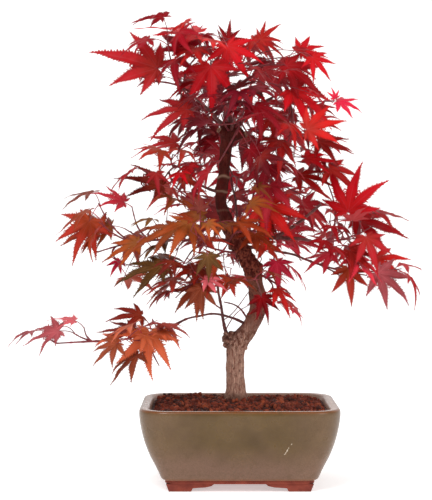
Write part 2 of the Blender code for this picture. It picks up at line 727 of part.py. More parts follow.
def grow_all(lines, masses=MASSES):
    """Every mass of leaves, grown among the limbs: the leading leaves first, then the rest."""
    thicket = Thicket()
    for name in lines:
        thicket.add(limb_mesh(name, lines, GAP * 2), name)
    grown = [Growth(mass, *mass_start(mass, lines), thicket) for mass in masses]
    for growth in grown:
        growth.fill()
    return grown


def rounded_rect(size, corner, z):
    """A rounded rectangle's points at height z, anticlockwise."""
    points = []
    for quarter, (sx, sy) in enumerate(((1, 1), (-1, 1), (-1, -1), (1, -1))):
        for k in range(CORNER_STEPS + 1):
            turn = math.pi / 2 * (quarter + k / CORNER_STEPS)
            x = sx * (size[0] / 2 - corner) + corner * math.cos(turn)
            y = sy * (size[1] / 2 - corner) + corner * math.sin(turn)
            points.append(Vector((x, y, z)))
    return points


def pot_loop(z, inset, share=1.0):
    """The bowl's outline at a height, set in from its widest one."""
    size = (POT_LENGTH - 2 * inset, POT_WIDTH - 2 * inset * share)
    return rounded_rect(size, max(POT_CORNER - inset * 0.8, 6.0), z)


def loft(loops):
    """A closed mesh through the loops, with its first and last loop as caps."""
    verts = [point for loop in loops for point in loop]
    faces = []
    n = len(loops[0])
    for i in range(len(loops) - 1):
        for k in range(n):
            nxt = (k + 1) % n
            faces.append((i * n + k, i * n + nxt, (i + 1) * n + nxt, (i + 1) * n + k))
    last = (len(loops) - 1) * n
    faces.append(tuple(range(n - 1, -1, -1)))
    faces.append(tuple(range(last, last + n)))
    return verts, faces


def cavity_inset(z):
    """How far the cavity's wall is set in from the pot's widest outline at a height."""
    top, inset = RIM_PROFILE[-1]
    return inset + CAVITY_DRAFT * (top - z) / (top - CAVITY_FLOOR)


def bowl():
    """The glazed bowl: up its outside, over the rim and down to the cavity's floor."""
    loops = [pot_loop(z, inset, POT_FRONT_SHARE) for z, inset in POT_PROFILE]
    loops += [pot_loop(z, inset) for z, inset in RIM_PROFILE]
    loops.append(pot_loop(CAVITY_FLOOR, cavity_inset(CAVITY_FLOOR)))
    return loft(loops)


def soil_height(x, y, share):
    """The soil's surface: level under the trunk, falling to the pot's walls, and lumpy between."""
    foot = Vector(TRUNK_BENDS[0][1:3])
    away = (Vector((x, y)) - foot).length
    if away <= SOIL_FLAT:
        return SOIL_CROWN
    lump = noise.noise(Vector((x * 0.09, y * 0.09, 3.0))) * SOIL_LUMP * 2
    return mix(SOIL_CROWN, SOIL_EDGE, share) + lump * min(1.0, (away - SOIL_FLAT) / 10.0)


def soil():
    """The soil that fills the cavity, just clear of its walls, with a mound round the trunk."""
    floor = CAVITY_FLOOR + GAP
    loops = [pot_loop(floor, cavity_inset(floor) + GAP * 1.3)]
    rim = pot_loop(SOIL_EDGE, cavity_inset(SOIL_EDGE) + GAP * 1.3)
    foot = Vector((TRUNK_BENDS[0][1], TRUNK_BENDS[0][2], 0.0))
    loops.append(rim)
    for ring in range(1, SOIL_RINGS + 1):
        share = 1 - ring / SOIL_RINGS
        loop = []
        for point in rim:
            out = Vector((point.x, point.y, 0.0)) - foot
            reach = mix(SOIL_FLAT, out.length, share)
            place = foot + out.normalized() * reach
            loop.append(Vector((place.x, place.y, soil_height(place.x, place.y, share))))
        loops.append(loop)
    return loft(loops)


def foot_leg(long, wide, swap):
    """One leg of a foot: its standing part, a step, and a curve up to the band."""
    stand, whole = long
    profile = [(0.0, 0.0), (stand, 0.0), (stand + 0.8, 1.4), (stand + 1.6, FOOT_STEP)]
    profile.append((stand + 5.0, FOOT_STEP + 0.4))
    for k in range(1, 4):
        turn = math.pi / 2 * k / 3
        run = whole - stand - 5.0
        rise = FOOT_HEIGHT - FOOT_STEP - 0.4
        profile.append((stand + 5.0 + run * math.sin(turn), FOOT_STEP + 0.4 + rise * (1 - math.cos(turn))))
    profile.append((0.0, FOOT_HEIGHT))
    near = [Vector((x, 0.0, z)) for x, z in profile]
    far = [Vector((x, wide, z)) for x, z in profile]
    verts, faces = loft([far, near])
    if swap:
        verts = [Vector((v.y, v.x, v.z)) for v in verts]
        faces = [tuple(reversed(face)) for face in faces]
    return verts, faces


def draft(vert):
    """A foot's place with its outer faces leaning in towards the sole."""
    lean = FOOT_DRAFT * (1 - vert.z / FOOT_HEIGHT) ** 1.5
    return Vector((max(vert.x, lean), max(vert.y, lean), vert.z))


def stub_mesh(stub, grow=0.0):
    """A cut branch: a short tube from the trunk's axis to its sawn end."""
    place = trunk_at(stub.height)[0]
    turn, rise = math.radians(stub.angle), math.radians(stub.rise)
    out = Vector((math.cos(turn) * math.cos(rise), math.sin(turn) * math.cos(rise), math.sin(rise)))
    points = [place + out * stub.length * share for share in (0.1, 0.5, 1.0)]
    points[-1] += out * grow
    radii = [stub.radius * 1.25 + grow, stub.radius * 1.1 + grow, stub.radius + grow]
    return tube(points, radii, 8)


MATERIALS = {
    # name: colour as seen, roughness
    "bark": ((128, 100, 84), 0.85),
    "bough_bark": ((84, 48, 44), 0.7),
    "leaf_crimson": ((186, 24, 34), 0.55),
    "leaf_scarlet": ((200, 44, 44), 0.55),
    "leaf_maroon": ((120, 20, 28), 0.55),
    "leaf_orange": ((172, 76, 38), 0.55),
    "leaf_copper": ((178, 86, 60), 0.55),
    "glaze": ((132, 112, 84), 0.28),
    "bare_clay": ((168, 88, 66), 0.85),
    "soil": ((104, 50, 30), 0.95),
}
LEAF_COLOURS = {
    "far_left_leaves": "leaf_copper",
    "low_left_leaves": "leaf_copper",
    "knob_leaves": "leaf_scarlet",
    "left_leaves": "leaf_orange",
    "left_inner_leaves": "leaf_orange",
    "front_leaves": "leaf_orange",
    "low_centre_leaves": "leaf_maroon",
    "inner_leaves": "leaf_maroon",
    "crown_front_leaves": "leaf_maroon",
    "right_leaves": "leaf_scarlet",
    "right_low_leaves": "leaf_scarlet",
}


def make_material(name):
    """A Principled material with the colour given as it looks on a screen."""
    colour, roughness = MATERIALS[name]
    material = bpy.data.materials.new(name)
    material.use_nodes = True
    shader = material.node_tree.nodes["Principled BSDF"]
    linear = [(c / 255) ** 2.2 for c in colour]
    shader.inputs["Base Color"].default_value = (*linear, 1.0)
    shader.inputs["Roughness"].default_value = roughness
    shader.inputs["Metallic"].default_value = 0.0
    return material


class Workshop:
    """Makes the objects under one empty and joins or cuts them."""

    def __init__(self, shift):
        self.root = bpy.data.objects.new("bonsai", None)
        self.root.location = (shift[0] * METRES, shift[1] * METRES, 0.0)
        bpy.context.scene.collection.objects.link(self.root)
        self.materials = {name: make_material(name) for name in MATERIALS}

    def solid(self, name, mesh, material, origin=None, smooth=True):
        """An object of a closed mesh, its origin at the place where the piece begins."""
        verts, faces = mesh
        origin = Vector(origin) if origin else Vector((0.0, 0.0, 0.0))
        data = bpy.data.meshes.new(name)
        data.from_pydata([(v - origin) * METRES for v in verts], [], faces)
        build = bmesh.new()
        build.from_mesh(data)
        bmesh.ops.triangulate(build, faces=[f for f in build.faces if len(f.verts) == 4])
        build.to_mesh(data)
        build.free()
        if smooth:
            data.shade_smooth()
            data.set_sharp_from_angle(angle=math.radians(40.0))
        data.materials.append(self.materials[material])
        thing = bpy.data.objects.new(name, data)
        thing.parent = self.root
        thing.location = origin * METRES
        bpy.context.scene.collection.objects.link(thing)
        return thing

    def helper(self, name, mesh):
        """A cutter or other helper, left out of the part."""
        thing = self.solid(name, mesh, "bark", smooth=False)
        thing.hide_render = True
        thing.display_type = "WIRE"
        return thing

    def join(self, thing, meshes, solver="EXACT"):
        """Fuses meshes onto a thing by one union on a collection, then removes them."""
        group = bpy.data.collections.new(thing.name + "_pieces")
        bpy.context.scene.collection.children.link(group)
        pieces = []
        for i, mesh in enumerate(meshes):
            piece = self.helper(f"{thing.name}_piece_{i}", mesh)
            bpy.context.scene.collection.objects.unlink(piece)
            group.objects.link(piece)
            pieces.append(piece)
        union = thing.modifiers.new("join", "BOOLEAN")
        union.operation = "UNION"
        union.operand_type = "COLLECTION"
        union.collection = group
        union.solver = solver
        self.apply(thing)
        for piece in pieces:
            data = piece.data
            bpy.data.objects.remove(piece)
            bpy.data.meshes.remove(data)
        bpy.data.collections.remove(group)

    def cut(self, thing, cutter):
        """Cuts a thing clear of a thicker copy of its neighbour."""
        trim = thing.modifiers.new("clear", "BOOLEAN")
        trim.operation = "DIFFERENCE"
        trim.object = cutter
        trim.solver = "EXACT"
        self.apply(thing)

    def apply(self, thing):
        """Applies the thing's modifiers."""
        bpy.context.view_layer.update()
        graph = bpy.context.evaluated_depsgraph_get()
        data = bpy.data.meshes.new_from_object(thing.evaluated_get(graph))
        old, name = thing.data, thing.data.name
        thing.modifiers.clear()
        thing.data = data
        bpy.data.meshes.remove(old)
        data.name = name


def make_pot(shop):
    """The bowl, the band under it, its four feet and the soil."""
    shop.solid("pot", bowl(), "glaze")
    band = [rounded_rect(BAND_SIZE, BAND_CORNER, z) for z in (BAND_BOTTOM, BAND_TOP)]
    shop.solid("pot_band", loft(band), "bare_clay")
    for name, sx, sy in (
        ("pot_foot_front_left", -1, -1),
        ("pot_foot_front_right", 1, -1),
        ("pot_foot_back_left", -1, 1),
        ("pot_foot_back_right", 1, 1),
    ):
        corner = Vector((sx * FOOT_CORNERS[0], sy * FOOT_CORNERS[1], 0.0))
        legs = []
        for long, swap in ((FOOT_LONG, False), (FOOT_SHORT, True)):
            verts, faces = foot_leg(long, FOOT_WIDE, swap)
            verts = [draft(v) for v in verts]
            verts = [Vector((corner.x - sx * v.x, corner.y - sy * v.y, v.z)) for v in verts]
            legs.append((verts, faces if sx * sy > 0 else [tuple(reversed(f)) for f in faces]))
        foot = shop.solid(name, legs[0], "bare_clay", corner)
        shop.join(foot, legs[1:])
    shop.solid("soil", soil(), "soil")


def make_limbs(shop, lines):
    """The trunk with its stubs, and each bough cut clear of the limb that it leaves."""
    trunk = shop.solid("trunk", limb_mesh("trunk", lines), "bark", lines["trunk"][0][0])
    shop.join(trunk, [stub_mesh(stub) for stub in STUBS])
    cutters = {"trunk": shop.helper("trunk_clearance", limb_mesh("trunk", lines, GAP))}
    shop.join(cutters["trunk"], [stub_mesh(stub, GAP) for stub in STUBS])
    for bough in BOUGHS:
        made = shop.solid(bough.name, limb_mesh(bough.name, lines), "bough_bark", lines[bough.name][0][0])
        if bough.parent not in cutters:
            cutters[bough.parent] = shop.helper(
                bough.parent + "_clearance", limb_mesh(bough.parent, lines, GAP * 1.3)
            )
        shop.cut(made, cutters[bough.parent])
    return cutters["trunk"]


def make_masses(shop, lines, clearance):
    """Each mass of leaves, joined from its stem, twigs and leaves, a stem from the trunk cut clear of it."""
    for growth in grow_all(lines):
        stem, *twigs = growth.twigs
        colour = LEAF_COLOURS.get(growth.mass.name, "leaf_crimson")
        made = shop.solid(growth.mass.name, tube(*stem, TWIG_SIDES), colour, stem.points[0], smooth=False)
        if growth.mass.limb == "trunk":
            shop.cut(made, clearance)
        meshes = [tube(*twig, TWIG_SIDES) for twig in twigs] + [leaf(*spot) for spot in growth.leaves]
        shop.join(made, meshes, "MANIFOLD")


def main():
    """Builds the bonsai."""
    for thing in list(bpy.data.objects):
        bpy.data.objects.remove(thing)
    shop = Workshop(POT_CENTRE)
    lines = limb_lines()
    make_pot(shop)
    clearance = make_limbs(shop, lines)
    make_masses(shop, lines, clearance)


if __name__ == "__main__":
    main()
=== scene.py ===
"""Looks of a japanese maple bonsai: bark, twigs and autumn leaves over a glazed pot of soil.

The crown grows by the same seeded rule as the solids, then goes on to finer shoots and more leaves in
the same spaces. Lengths are in millimetres about the pot's middle, and become metres in each mesh.
"""

import json
import logging
from collections.abc import Callable, Iterable, Sequence
from dataclasses import dataclass, field
from enum import Enum
from math import atan2, copysign, cos, degrees, exp, pi, radians, sin, sqrt, tau
from random import Random
from typing import Any, NamedTuple

import bmesh
import bpy
import numpy as np
from mathutils import Matrix, Vector, noise
from mathutils.bvhtree import BVHTree

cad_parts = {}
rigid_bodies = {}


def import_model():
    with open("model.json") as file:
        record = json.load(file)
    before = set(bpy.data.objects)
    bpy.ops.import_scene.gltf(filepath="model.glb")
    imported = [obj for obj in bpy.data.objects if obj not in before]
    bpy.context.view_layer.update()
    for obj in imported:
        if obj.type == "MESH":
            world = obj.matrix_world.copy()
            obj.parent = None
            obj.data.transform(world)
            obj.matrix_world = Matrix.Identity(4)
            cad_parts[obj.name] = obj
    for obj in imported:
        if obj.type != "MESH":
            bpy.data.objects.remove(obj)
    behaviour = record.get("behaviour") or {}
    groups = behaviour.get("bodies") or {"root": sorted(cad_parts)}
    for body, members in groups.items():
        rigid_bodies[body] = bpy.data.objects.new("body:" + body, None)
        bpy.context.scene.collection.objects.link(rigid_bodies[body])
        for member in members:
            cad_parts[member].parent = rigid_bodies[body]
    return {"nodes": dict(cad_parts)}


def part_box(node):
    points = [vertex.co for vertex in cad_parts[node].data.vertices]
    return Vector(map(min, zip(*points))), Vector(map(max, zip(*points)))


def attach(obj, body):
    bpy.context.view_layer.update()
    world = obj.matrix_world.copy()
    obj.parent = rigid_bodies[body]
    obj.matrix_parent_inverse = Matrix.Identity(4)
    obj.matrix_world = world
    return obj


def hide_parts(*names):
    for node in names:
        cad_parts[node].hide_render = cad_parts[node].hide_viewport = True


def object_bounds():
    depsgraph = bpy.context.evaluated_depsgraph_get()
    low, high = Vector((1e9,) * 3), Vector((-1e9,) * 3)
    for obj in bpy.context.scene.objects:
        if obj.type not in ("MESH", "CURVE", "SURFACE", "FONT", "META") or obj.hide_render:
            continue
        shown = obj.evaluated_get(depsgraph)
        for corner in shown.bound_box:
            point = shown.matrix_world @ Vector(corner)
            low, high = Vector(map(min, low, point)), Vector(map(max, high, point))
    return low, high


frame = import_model()
CAD_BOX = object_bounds()
LOG = logging.getLogger("bonsai")

METRES = 0.001
UP = Vector((0.0, 0.0, 1.0))
BODY = "root"
POT_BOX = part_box("pot")
ORIGIN = (POT_BOX[0] + POT_BOX[1]) / 2 * Vector((1.0, 1.0, 0.0))  # the pot's middle, on the floor

Mesh = tuple[list[Vector], list[tuple[int, ...]]]
Line = list[Vector]
Limb = tuple[Line, list[float]]  # a centre line and its radii
Limbs = dict[str, Limb]
Pair = tuple[float, float]
Place = tuple[float, float, float]
Colour = tuple[int, int, int]
Material = bpy.types.Material
Finishes = dict[str, Material]
Socket = bpy.types.NodeSocket
Sockets = dict[str, Socket]


class Tint(Enum):
    """Autumn colours of the leaves, as they look on a screen."""

    CRIMSON = (166, 8, 22)
    SCARLET = (176, 24, 22)
    CHERRY = (146, 10, 28)
    ROSE = (178, 40, 52)
    PINK = (206, 32, 60)
    WINE = (108, 10, 28)
    MAROON = (88, 12, 20)
    BRICK = (150, 42, 30)
    RUSSET = (140, 50, 24)
    ORANGE = (146, 64, 28)
    OLIVE = (122, 78, 36)
    COPPER = (180, 84, 54)
    GARNET = (152, 26, 32)
    BLUSH = (204, 92, 98)


# The tint at the heart of a leaf, where it differs from the rest
HEARTS = {
    Tint.CRIMSON: Tint.SCARLET,
    Tint.SCARLET: Tint.BRICK,
    Tint.CHERRY: Tint.CRIMSON,
    Tint.BRICK: Tint.ORANGE,
    Tint.RUSSET: Tint.ORANGE,
    Tint.ORANGE: Tint.OLIVE,
    Tint.COPPER: Tint.ORANGE,
    Tint.GARNET: Tint.BRICK,
    Tint.MAROON: Tint.BRICK,
}


def linear(colour: Sequence[float]) -> tuple[float, float, float, float]:
    """A screen colour of 0 to 255 as the linear colour that a shader takes."""
    red, green, blue = [(c / 255) ** 2.2 for c in colour]
    return red, green, blue, 1.0


@dataclass(frozen=True)
class Knot:
    """An old wound or callus: its height, compass angle, how far it stands out, and its spread."""

    height: float
    angle: float
    swell: float
    spread: float

    def share(self, height: float, angle: float, radius: float) -> float:
        """How much of it is left at a height and angle of a trunk of this radius.

        Args:
            height: The height.
            angle: The angle in degrees.
            radius: The trunk's radius.

        Returns:
            A share of 0 to 1.
        """
        rise = (height - self.height) / self.spread
        turn = radians((angle - self.angle + 180) % 360 - 180) * radius / self.spread
        return exp(-(rise * rise) - turn * turn)


@dataclass(frozen=True)
class Burl:
    """A cracked lump on the trunk: its middle, its reach along each axis and how square it is."""

    middle: Place
    reach: Place
    square: float


@dataclass(frozen=True)
class Stub:
    """A cut branch: its height on the trunk, compass angle, rise, length and radius."""

    height: float
    angle: float
    rise: float
    length: float
    radius: float


@dataclass(frozen=True)
class Ring:
    """A ring scar round the trunk: its height, how far it stands out and how pale it is, partly the scar's
    own paleness and partly painted sheen on its ridge.
    """

    height: float
    swell: float
    pale: float


@dataclass(frozen=True)
class Bough:
    """One tapering limb: its name, parent, place on it, tip, bow off the straight line and radii."""

    name: str
    parent: str
    at: float
    tip: Place
    bow: Place
    radii: Pair


@dataclass(frozen=True)
class Lead:
    """A leading leaf: its blade's foot, where its tip points, its face, its size and its tint."""

    foot: Place
    aim: Place
    face: Place
    size: float
    tint: Tint | None = None


@dataclass(frozen=True)
class Mass:
    """A mass of leaves: its limb, space and seed, its leaves and shoots, and those added to it here."""

    name: str
    limb: str
    at: float
    centre: Place
    reach: Place
    seed: int
    leaves: int
    shoots: int
    fine_seed: int
    fine: int
    tints: tuple[Tint, ...]
    slot: str = "leaf_crimson"


# Trunk: height, sideways place, depth and radius at each bend, from the soil up
TRUNK_BENDS = (
    (81, -3, 4, 11.4),
    (92, -3, 4, 9.8),
    (115, -4, 3.5, 9),
    (129, -3.3, 3, 9.5),
    (139, -0.5, 2, 9.8),
    (157, 11, 0, 8.6),
    (168, 17.4, -2, 8.6),
    (179, 18.8, -4, 8.5),
    (204, 14.8, -6, 8),
    (224, 6.5, -6, 8.8),
    (242, -4, -4, 9.6),
    (253, -9.5, -3, 8),
    (267, -14.5, -1, 6.3),
    (280, -18, 1, 5.6),
    (304, -15.4, 4, 5.8),
    (338, -12.3, 2, 6.4),
    (352, -6.5, 0.5, 8.6),
)

KNOTS = (
    Knot(83, 205, 1.8, 7),
    Knot(83, 330, 1.6, 7),
    Knot(84, 80, 1.6, 8),
    Knot(145, 188, 9, 6.6),
    Knot(212, 5, 4.2, 6),
    Knot(236, 250, 2, 7),
    Knot(226, 300, 1.8, 5),
    Knot(247, 10, 2.4, 6),
    Knot(292, 180, 1.2, 3.5),
    Knot(188, 230, 1.6, 5),
    Knot(350, 190, 5, 6),
    Knot(351, 345, 5.5, 6.5),
    Knot(352, 90, 2.5, 6),
)

STUBS = (
    Stub(346, 228, 20, 16, 2.8),
    Stub(344, 334, 10, 20, 3.2),
    Stub(203, 110, 30, 14, 2),
)

BOUGHS = (
    Bough("low_left_bough", "trunk", 156, (-64, -24, 157), (0, 2, 12), (2, 1.3)),
    Bough("far_left_bough", "low_left_bough", 0.8, (-134, -28, 143), (0, 8, -6), (1.2, 0.9)),
    Bough("knob_bough", "trunk", 143, (-21.7, 5, 201), (-9, 6, 0), (2, 1.4)),
    Bough("left_bough", "trunk", 240, (-73, -20, 242), (0, -2, 1), (1.9, 1.4)),
    Bough("right_bough", "trunk", 239, (71, -12, 241), (2, -2, 3.5), (2.7, 1.7)),
    Bough("right_cut_bough", "right_bough", 0.52, (80, -24, 277), (-1, 0, -2), (2, 1.6)),
    Bough("right_low_bough", "trunk", 234, (67, 12, 222), (0, 2, 4), (1.9, 1.3)),
    Bough("right_whip", "right_bough", 0.24, (18, 10, 298), (-3, 4, 0), (1.6, 1.2)),
    Bough("inner_whip", "trunk", 244, (-6.5, 26, 296), (4, 8, -4), (1.6, 1.2)),
    Bough("crown_left_bough", "trunk", 350, (-45.5, -10, 385), (-3, 0, 3), (2.3, 1.5)),
    Bough("crown_centre_bough", "trunk", 352, (-11, 2, 401), (-1, 0, 0), (2.3, 1.6)),
    Bough("crown_right_bough", "trunk", 351, (34, -4, 384), (0, 2, 2), (2.4, 1.5)),
    Bough("crown_back_bough", "trunk", 349, (4, 48, 371), (2, 0, 4), (2.1, 1.4)),
    Bough("crown_front_bough", "trunk", 347, (-1, -44, 360), (0, 0, 5), (1.9, 1.3)),
    Bough("back_bough", "trunk", 236, (12, 52, 250), (3, 0, 3), (2, 1.4)),
    Bough("left_upper_bough", "trunk", 288, (-57, 0, 312), (-3, -2, -3), (1.6, 1.2)),
)

MASSES = (
    Mass(
        "far_left_leaves", "far_left_bough", 1, (-180, -24, 147), (56, 42, 34), 36, 4, 1,
        1, 0, (Tint.BLUSH,), "leaf_copper",
    ),
    Mass(
        "low_left_leaves", "low_left_bough", 1, (-91, -38, 142), (56, 54, 50), 1, 7, 3,
        10, 3, (Tint.COPPER, Tint.COPPER, Tint.BRICK), "leaf_copper",
    ),
    Mass(
        "knob_leaves", "knob_bough", 1, (-52, -25, 194), (44, 46, 32), 20, 6, 2,
        13, 6, (Tint.BRICK, Tint.SCARLET, Tint.COPPER), "leaf_scarlet",
    ),
    Mass(
        "left_leaves", "left_bough", 1, (-129, -22, 240), (64, 56, 60), 31, 10, 4,
        15, 1, (Tint.ORANGE, Tint.RUSSET, Tint.BRICK, Tint.OLIVE), "leaf_orange",
    ),
    Mass(
        "left_inner_leaves", "trunk", 228, (-60, -50, 236), (70, 56, 62), 23, 10, 4,
        13, 8, (Tint.OLIVE, Tint.ORANGE, Tint.RUSSET, Tint.BRICK), "leaf_orange",
    ),
    Mass(
        "left_upper_leaves", "left_upper_bough", 1, (-76, -8, 313), (58, 60, 48), 11, 10, 4,
        11, 9, (Tint.BRICK, Tint.GARNET, Tint.ROSE, Tint.CRIMSON),
    ),
    Mass(
        "crown_left_leaves", "crown_left_bough", 1, (-84, -18, 406), (76, 64, 68), 80, 11, 4,
        7, 4, (Tint.GARNET, Tint.CRIMSON, Tint.CHERRY),
    ),
    Mass(
        "top_leaves", "crown_centre_bough", 1, (8, -6, 410), (92, 66, 56), 71, 14, 6,
        8, 17, (Tint.CRIMSON, Tint.CRIMSON, Tint.SCARLET, Tint.CHERRY),
    ),
    Mass(
        "crown_right_leaves", "crown_right_bough", 1, (66, -18, 350), (70, 68, 66), 87, 12, 5,
        5, 10, (Tint.CRIMSON, Tint.SCARLET, Tint.CRIMSON),
    ),
    Mass(
        "right_inner_leaves", "right_whip", 1, (44, -4, 282), (58, 66, 60), 4, 10, 4,
        18, 9, (Tint.CRIMSON, Tint.SCARLET, Tint.ROSE, Tint.CHERRY),
    ),
    Mass(
        "right_leaves", "right_bough", 1, (120, -12, 266), (70, 64, 72), 40, 11, 4,
        9, 4, (Tint.SCARLET, Tint.ROSE, Tint.CRIMSON), "leaf_scarlet",
    ),
    Mass(
        "right_low_leaves", "right_low_bough", 1, (124, 2, 208), (70, 56, 46), 34, 7, 3,
        1, 3, (Tint.SCARLET, Tint.ROSE, Tint.CRIMSON), "leaf_scarlet",
    ),
    Mass(
        "front_leaves", "trunk", 248, (2, -50, 250), (60, 60, 56), 38, 6, 3,
        6, 5, (Tint.RUSSET, Tint.ORANGE, Tint.BRICK), "leaf_orange",
    ),
    Mass(
        "low_centre_leaves", "trunk", 212, (42, -14, 197), (38, 48, 42), 31, 5, 2,
        11, 3, (Tint.BRICK, Tint.SCARLET, Tint.PINK), "leaf_maroon",
    ),
    Mass(
        "crown_front_leaves", "crown_front_bough", 1, (-4, -78, 336), (62, 48, 60), 68, 10, 4,
        3, 8, (Tint.MAROON, Tint.CHERRY, Tint.WINE), "leaf_maroon",
    ),
    Mass(
        "inner_leaves", "inner_whip", 1, (-2, 60, 304), (60, 50, 56), 17, 7, 3,
        16, 6, (Tint.MAROON, Tint.WINE, Tint.CHERRY), "leaf_maroon",
    ),
    Mass(
        "crown_back_leaves", "crown_back_bough", 1, (6, 92, 369), (84, 52, 70), 23, 9, 4,
        19, 11, (Tint.CHERRY, Tint.MAROON, Tint.WINE),
    ),
    Mass(
        "back_leaves", "back_bough", 1, (14, 98, 249), (92, 50, 64), 62, 9, 4,
        15, 11, (Tint.CHERRY, Tint.MAROON, Tint.BRICK, Tint.CRIMSON),
    ),
)

LEADS = {
    "far_left_leaves": (
        Lead((-177, -30, 153), (-1, 0, -0.3), (0.1, -0.5, 0.85), 40, Tint.BLUSH),
        Lead((-162, -25, 163), (-1, 0, 0.05), (0.1, -0.4, 0.9), 28, Tint.BLUSH),
    ),
    "low_left_leaves": (
        Lead((-87, -46, 153), (-0.1, -0.3, -1), (0, -1, 0.35), 48, Tint.COPPER),
        Lead((-80, -22, 170), (-1, -0.1, 0.1), (0, -0.35, 0.9), 34, Tint.COPPER),
    ),
    "left_leaves": (
        Lead((-147, -25, 261), (-0.42, -0.2, -0.9), (-0.1, -1, 0.25), 51, Tint.BRICK),
        Lead((-114, -20, 279), (-0.95, 0, 0.3), (0.2, -0.5, 0.85), 38, Tint.ROSE),
        Lead((-99, -38, 240), (-0.85, -0.1, -0.4), (0, -0.6, 0.8), 44, Tint.ORANGE),
    ),
    "left_inner_leaves": (
        Lead((-61, -54, 254), (-0.95, -0.2, -0.25), (0, -0.5, 0.85), 54, Tint.ORANGE),
        Lead((-75, -62, 217), (-0.95, -0.25, -0.15), (0, -0.5, 0.9), 52, Tint.OLIVE),
        Lead((-38, -56, 226), (-0.9, -0.1, 0.05), (0, -0.75, 0.6), 32, Tint.MAROON),
    ),
    "left_upper_leaves": (
        Lead((-77, -15, 296), (-0.95, -0.1, 0.25), (0.1, -0.75, 0.6), 50, Tint.BRICK),
        Lead((-63, -10, 338), (-1, 0, 0.05), (0.1, -0.6, 0.8), 44, Tint.GARNET),
    ),
    "crown_left_leaves": (
        Lead((-80, -25, 410), (-0.93, -0.05, 0.36), (0.25, -0.9, 0.3), 68, Tint.GARNET),
        Lead((-42, -15, 446), (-0.97, 0.05, 0.22), (0.15, -0.45, 0.9), 62, Tint.CRIMSON),
        Lead((-51, -30, 369), (-1, -0.1, 0), (0.1, -0.7, 0.7), 46, Tint.GARNET),
    ),
    "top_leaves": (
        Lead((-12, -30, 431), (0.5, -0.35, -0.75), (0, -0.85, 0.5), 44, Tint.CRIMSON),
        Lead((46, -20, 413), (0.8, -0.1, -0.55), (0.1, -0.85, 0.5), 46, Tint.CRIMSON),
        Lead((-28, -42, 410), (0.05, -0.35, -0.9), (0, -0.9, 0.4), 50, Tint.CRIMSON),
        Lead((62, 10, 431), (0.8, 0.2, 0.35), (0.1, -0.8, 0.5), 33, Tint.CRIMSON),
    ),
    "crown_right_leaves": (
        Lead((51, -24, 389), (0.85, -0.1, -0.5), (0, -0.75, 0.65), 54, Tint.CRIMSON),
        Lead((64, -56, 348), (0.93, -0.1, 0.3), (0, -0.92, 0.4), 44, Tint.SCARLET),
        Lead((65, -20, 322), (1, 0, -0.05), (0, -0.55, 0.85), 42, Tint.CRIMSON),
        Lead((97, -20, 378), (0.95, -0.1, -0.25), (0, -0.5, 0.85), 28, Tint.PINK),
    ),
    "right_inner_leaves": (
        Lead((25, -30, 276), (0.6, -0.3, -0.7), (0, -0.9, 0.4), 50, Tint.SCARLET),
    ),
    "right_leaves": (
        Lead((107, -24, 270), (0.12, -0.1, 0.98), (-0.5, -0.85, 0), 52, Tint.CRIMSON),
        Lead((117, 10, 262), (0.97, 0, -0.2), (0, -0.75, 0.65), 58, Tint.CRIMSON),
        Lead((123, -34, 245), (0.3, -0.4, -0.85), (0.1, -0.9, 0.4), 38, Tint.GARNET),
        Lead((90, -5, 313), (0.75, -0.1, -0.6), (0, -0.8, 0.6), 38, Tint.SCARLET),
    ),
    "right_low_leaves": (
        # Painted light: this leaf gets the light pink tint of a lit leaf, though it lies in the shade of the
        # leaf above
        Lead((137, -15, 209), (0.75, -0.15, -0.6), (0, -0.85, 0.55), 46, Tint.BLUSH),
        Lead((107, -25, 214), (0.1, -0.3, -0.9), (0, -0.9, 0.4), 38, Tint.BRICK),
        Lead((136, 8, 222), (0.9, 0, 0.15), (0, -0.65, 0.75), 37, Tint.SCARLET),
    ),
    "front_leaves": (
        Lead((-2, -58, 259), (0.8, -0.3, -0.25), (0, -0.65, 0.75), 38, Tint.RUSSET),
    ),
    "low_centre_leaves": (
        Lead((36, -30, 221), (0.1, -0.3, -0.9), (0, -0.9, 0.35), 34, Tint.PINK),
        Lead((14, -36, 202), (0.85, -0.25, -0.4), (0, -0.55, 0.8), 40, Tint.RUSSET),
    ),
}

# Leading leaves on finer shoots, which only grow here
FINE_LEADS = {
    "top_leaves": (
        Lead((-10.9, -5, 439.1), (0.1, -0.1, 1), (0, -1, 0.1), 24, Tint.CRIMSON),
        Lead((71, -30, 420), (0.6, -0.3, -0.75), (0, -0.85, 0.5), 28, Tint.CRIMSON),
        Lead((20, -40, 436), (0.6, -0.3, 0.5), (0, -0.9, 0.4), 26, Tint.SCARLET),
    ),
    "crown_right_leaves": (
        Lead((76.6, -39, 337.3), (0.85, -0.2, -0.3), (0, -0.7, 0.7), 38, Tint.SCARLET),
        Lead((94, -20, 381), (-0.2, -0.3, 0.9), (0.3, -0.9, 0.2), 13, Tint.PINK),
    ),
    "left_leaves": (
        Lead((-117.1, -29, 221.6), (-0.5, -0.3, -0.7), (0, -0.9, 0.4), 18, Tint.PINK),
    ),
    "left_inner_leaves": (
        Lead((-9.8, -30, 205.3), (-0.35, -0.2, -0.9), (0, -0.9, 0.4), 24, Tint.BRICK),
        Lead((-30.9, -90, 228.5), (0.1, -0.25, -0.95), (0, -0.95, 0.3), 26, Tint.OLIVE),
        Lead((-32.8, -75, 205), (0.8, -0.1, -0.3), (0, -0.6, 0.8), 24, Tint.BLUSH),
    ),
    "knob_leaves": (
        Lead((-37, -50, 196), (0, -0.3, -0.95), (0, -0.95, 0.3), 30, Tint.COPPER),
    ),
    "low_left_leaves": (
        Lead((-118.6, -35, 146.4), (-1, -0.1, -0.05), (0, -0.6, 0.8), 25, Tint.COPPER),
    ),
    "low_centre_leaves": (
        Lead((22, -50, 199), (0.8, -0.2, -0.55), (0, -0.6, 0.75), 34, Tint.CHERRY),
        Lead((21.2, -35, 186.7), (0.35, -0.3, -0.85), (0.3, -0.85, 0.3), 28, Tint.CRIMSON),
    ),
}

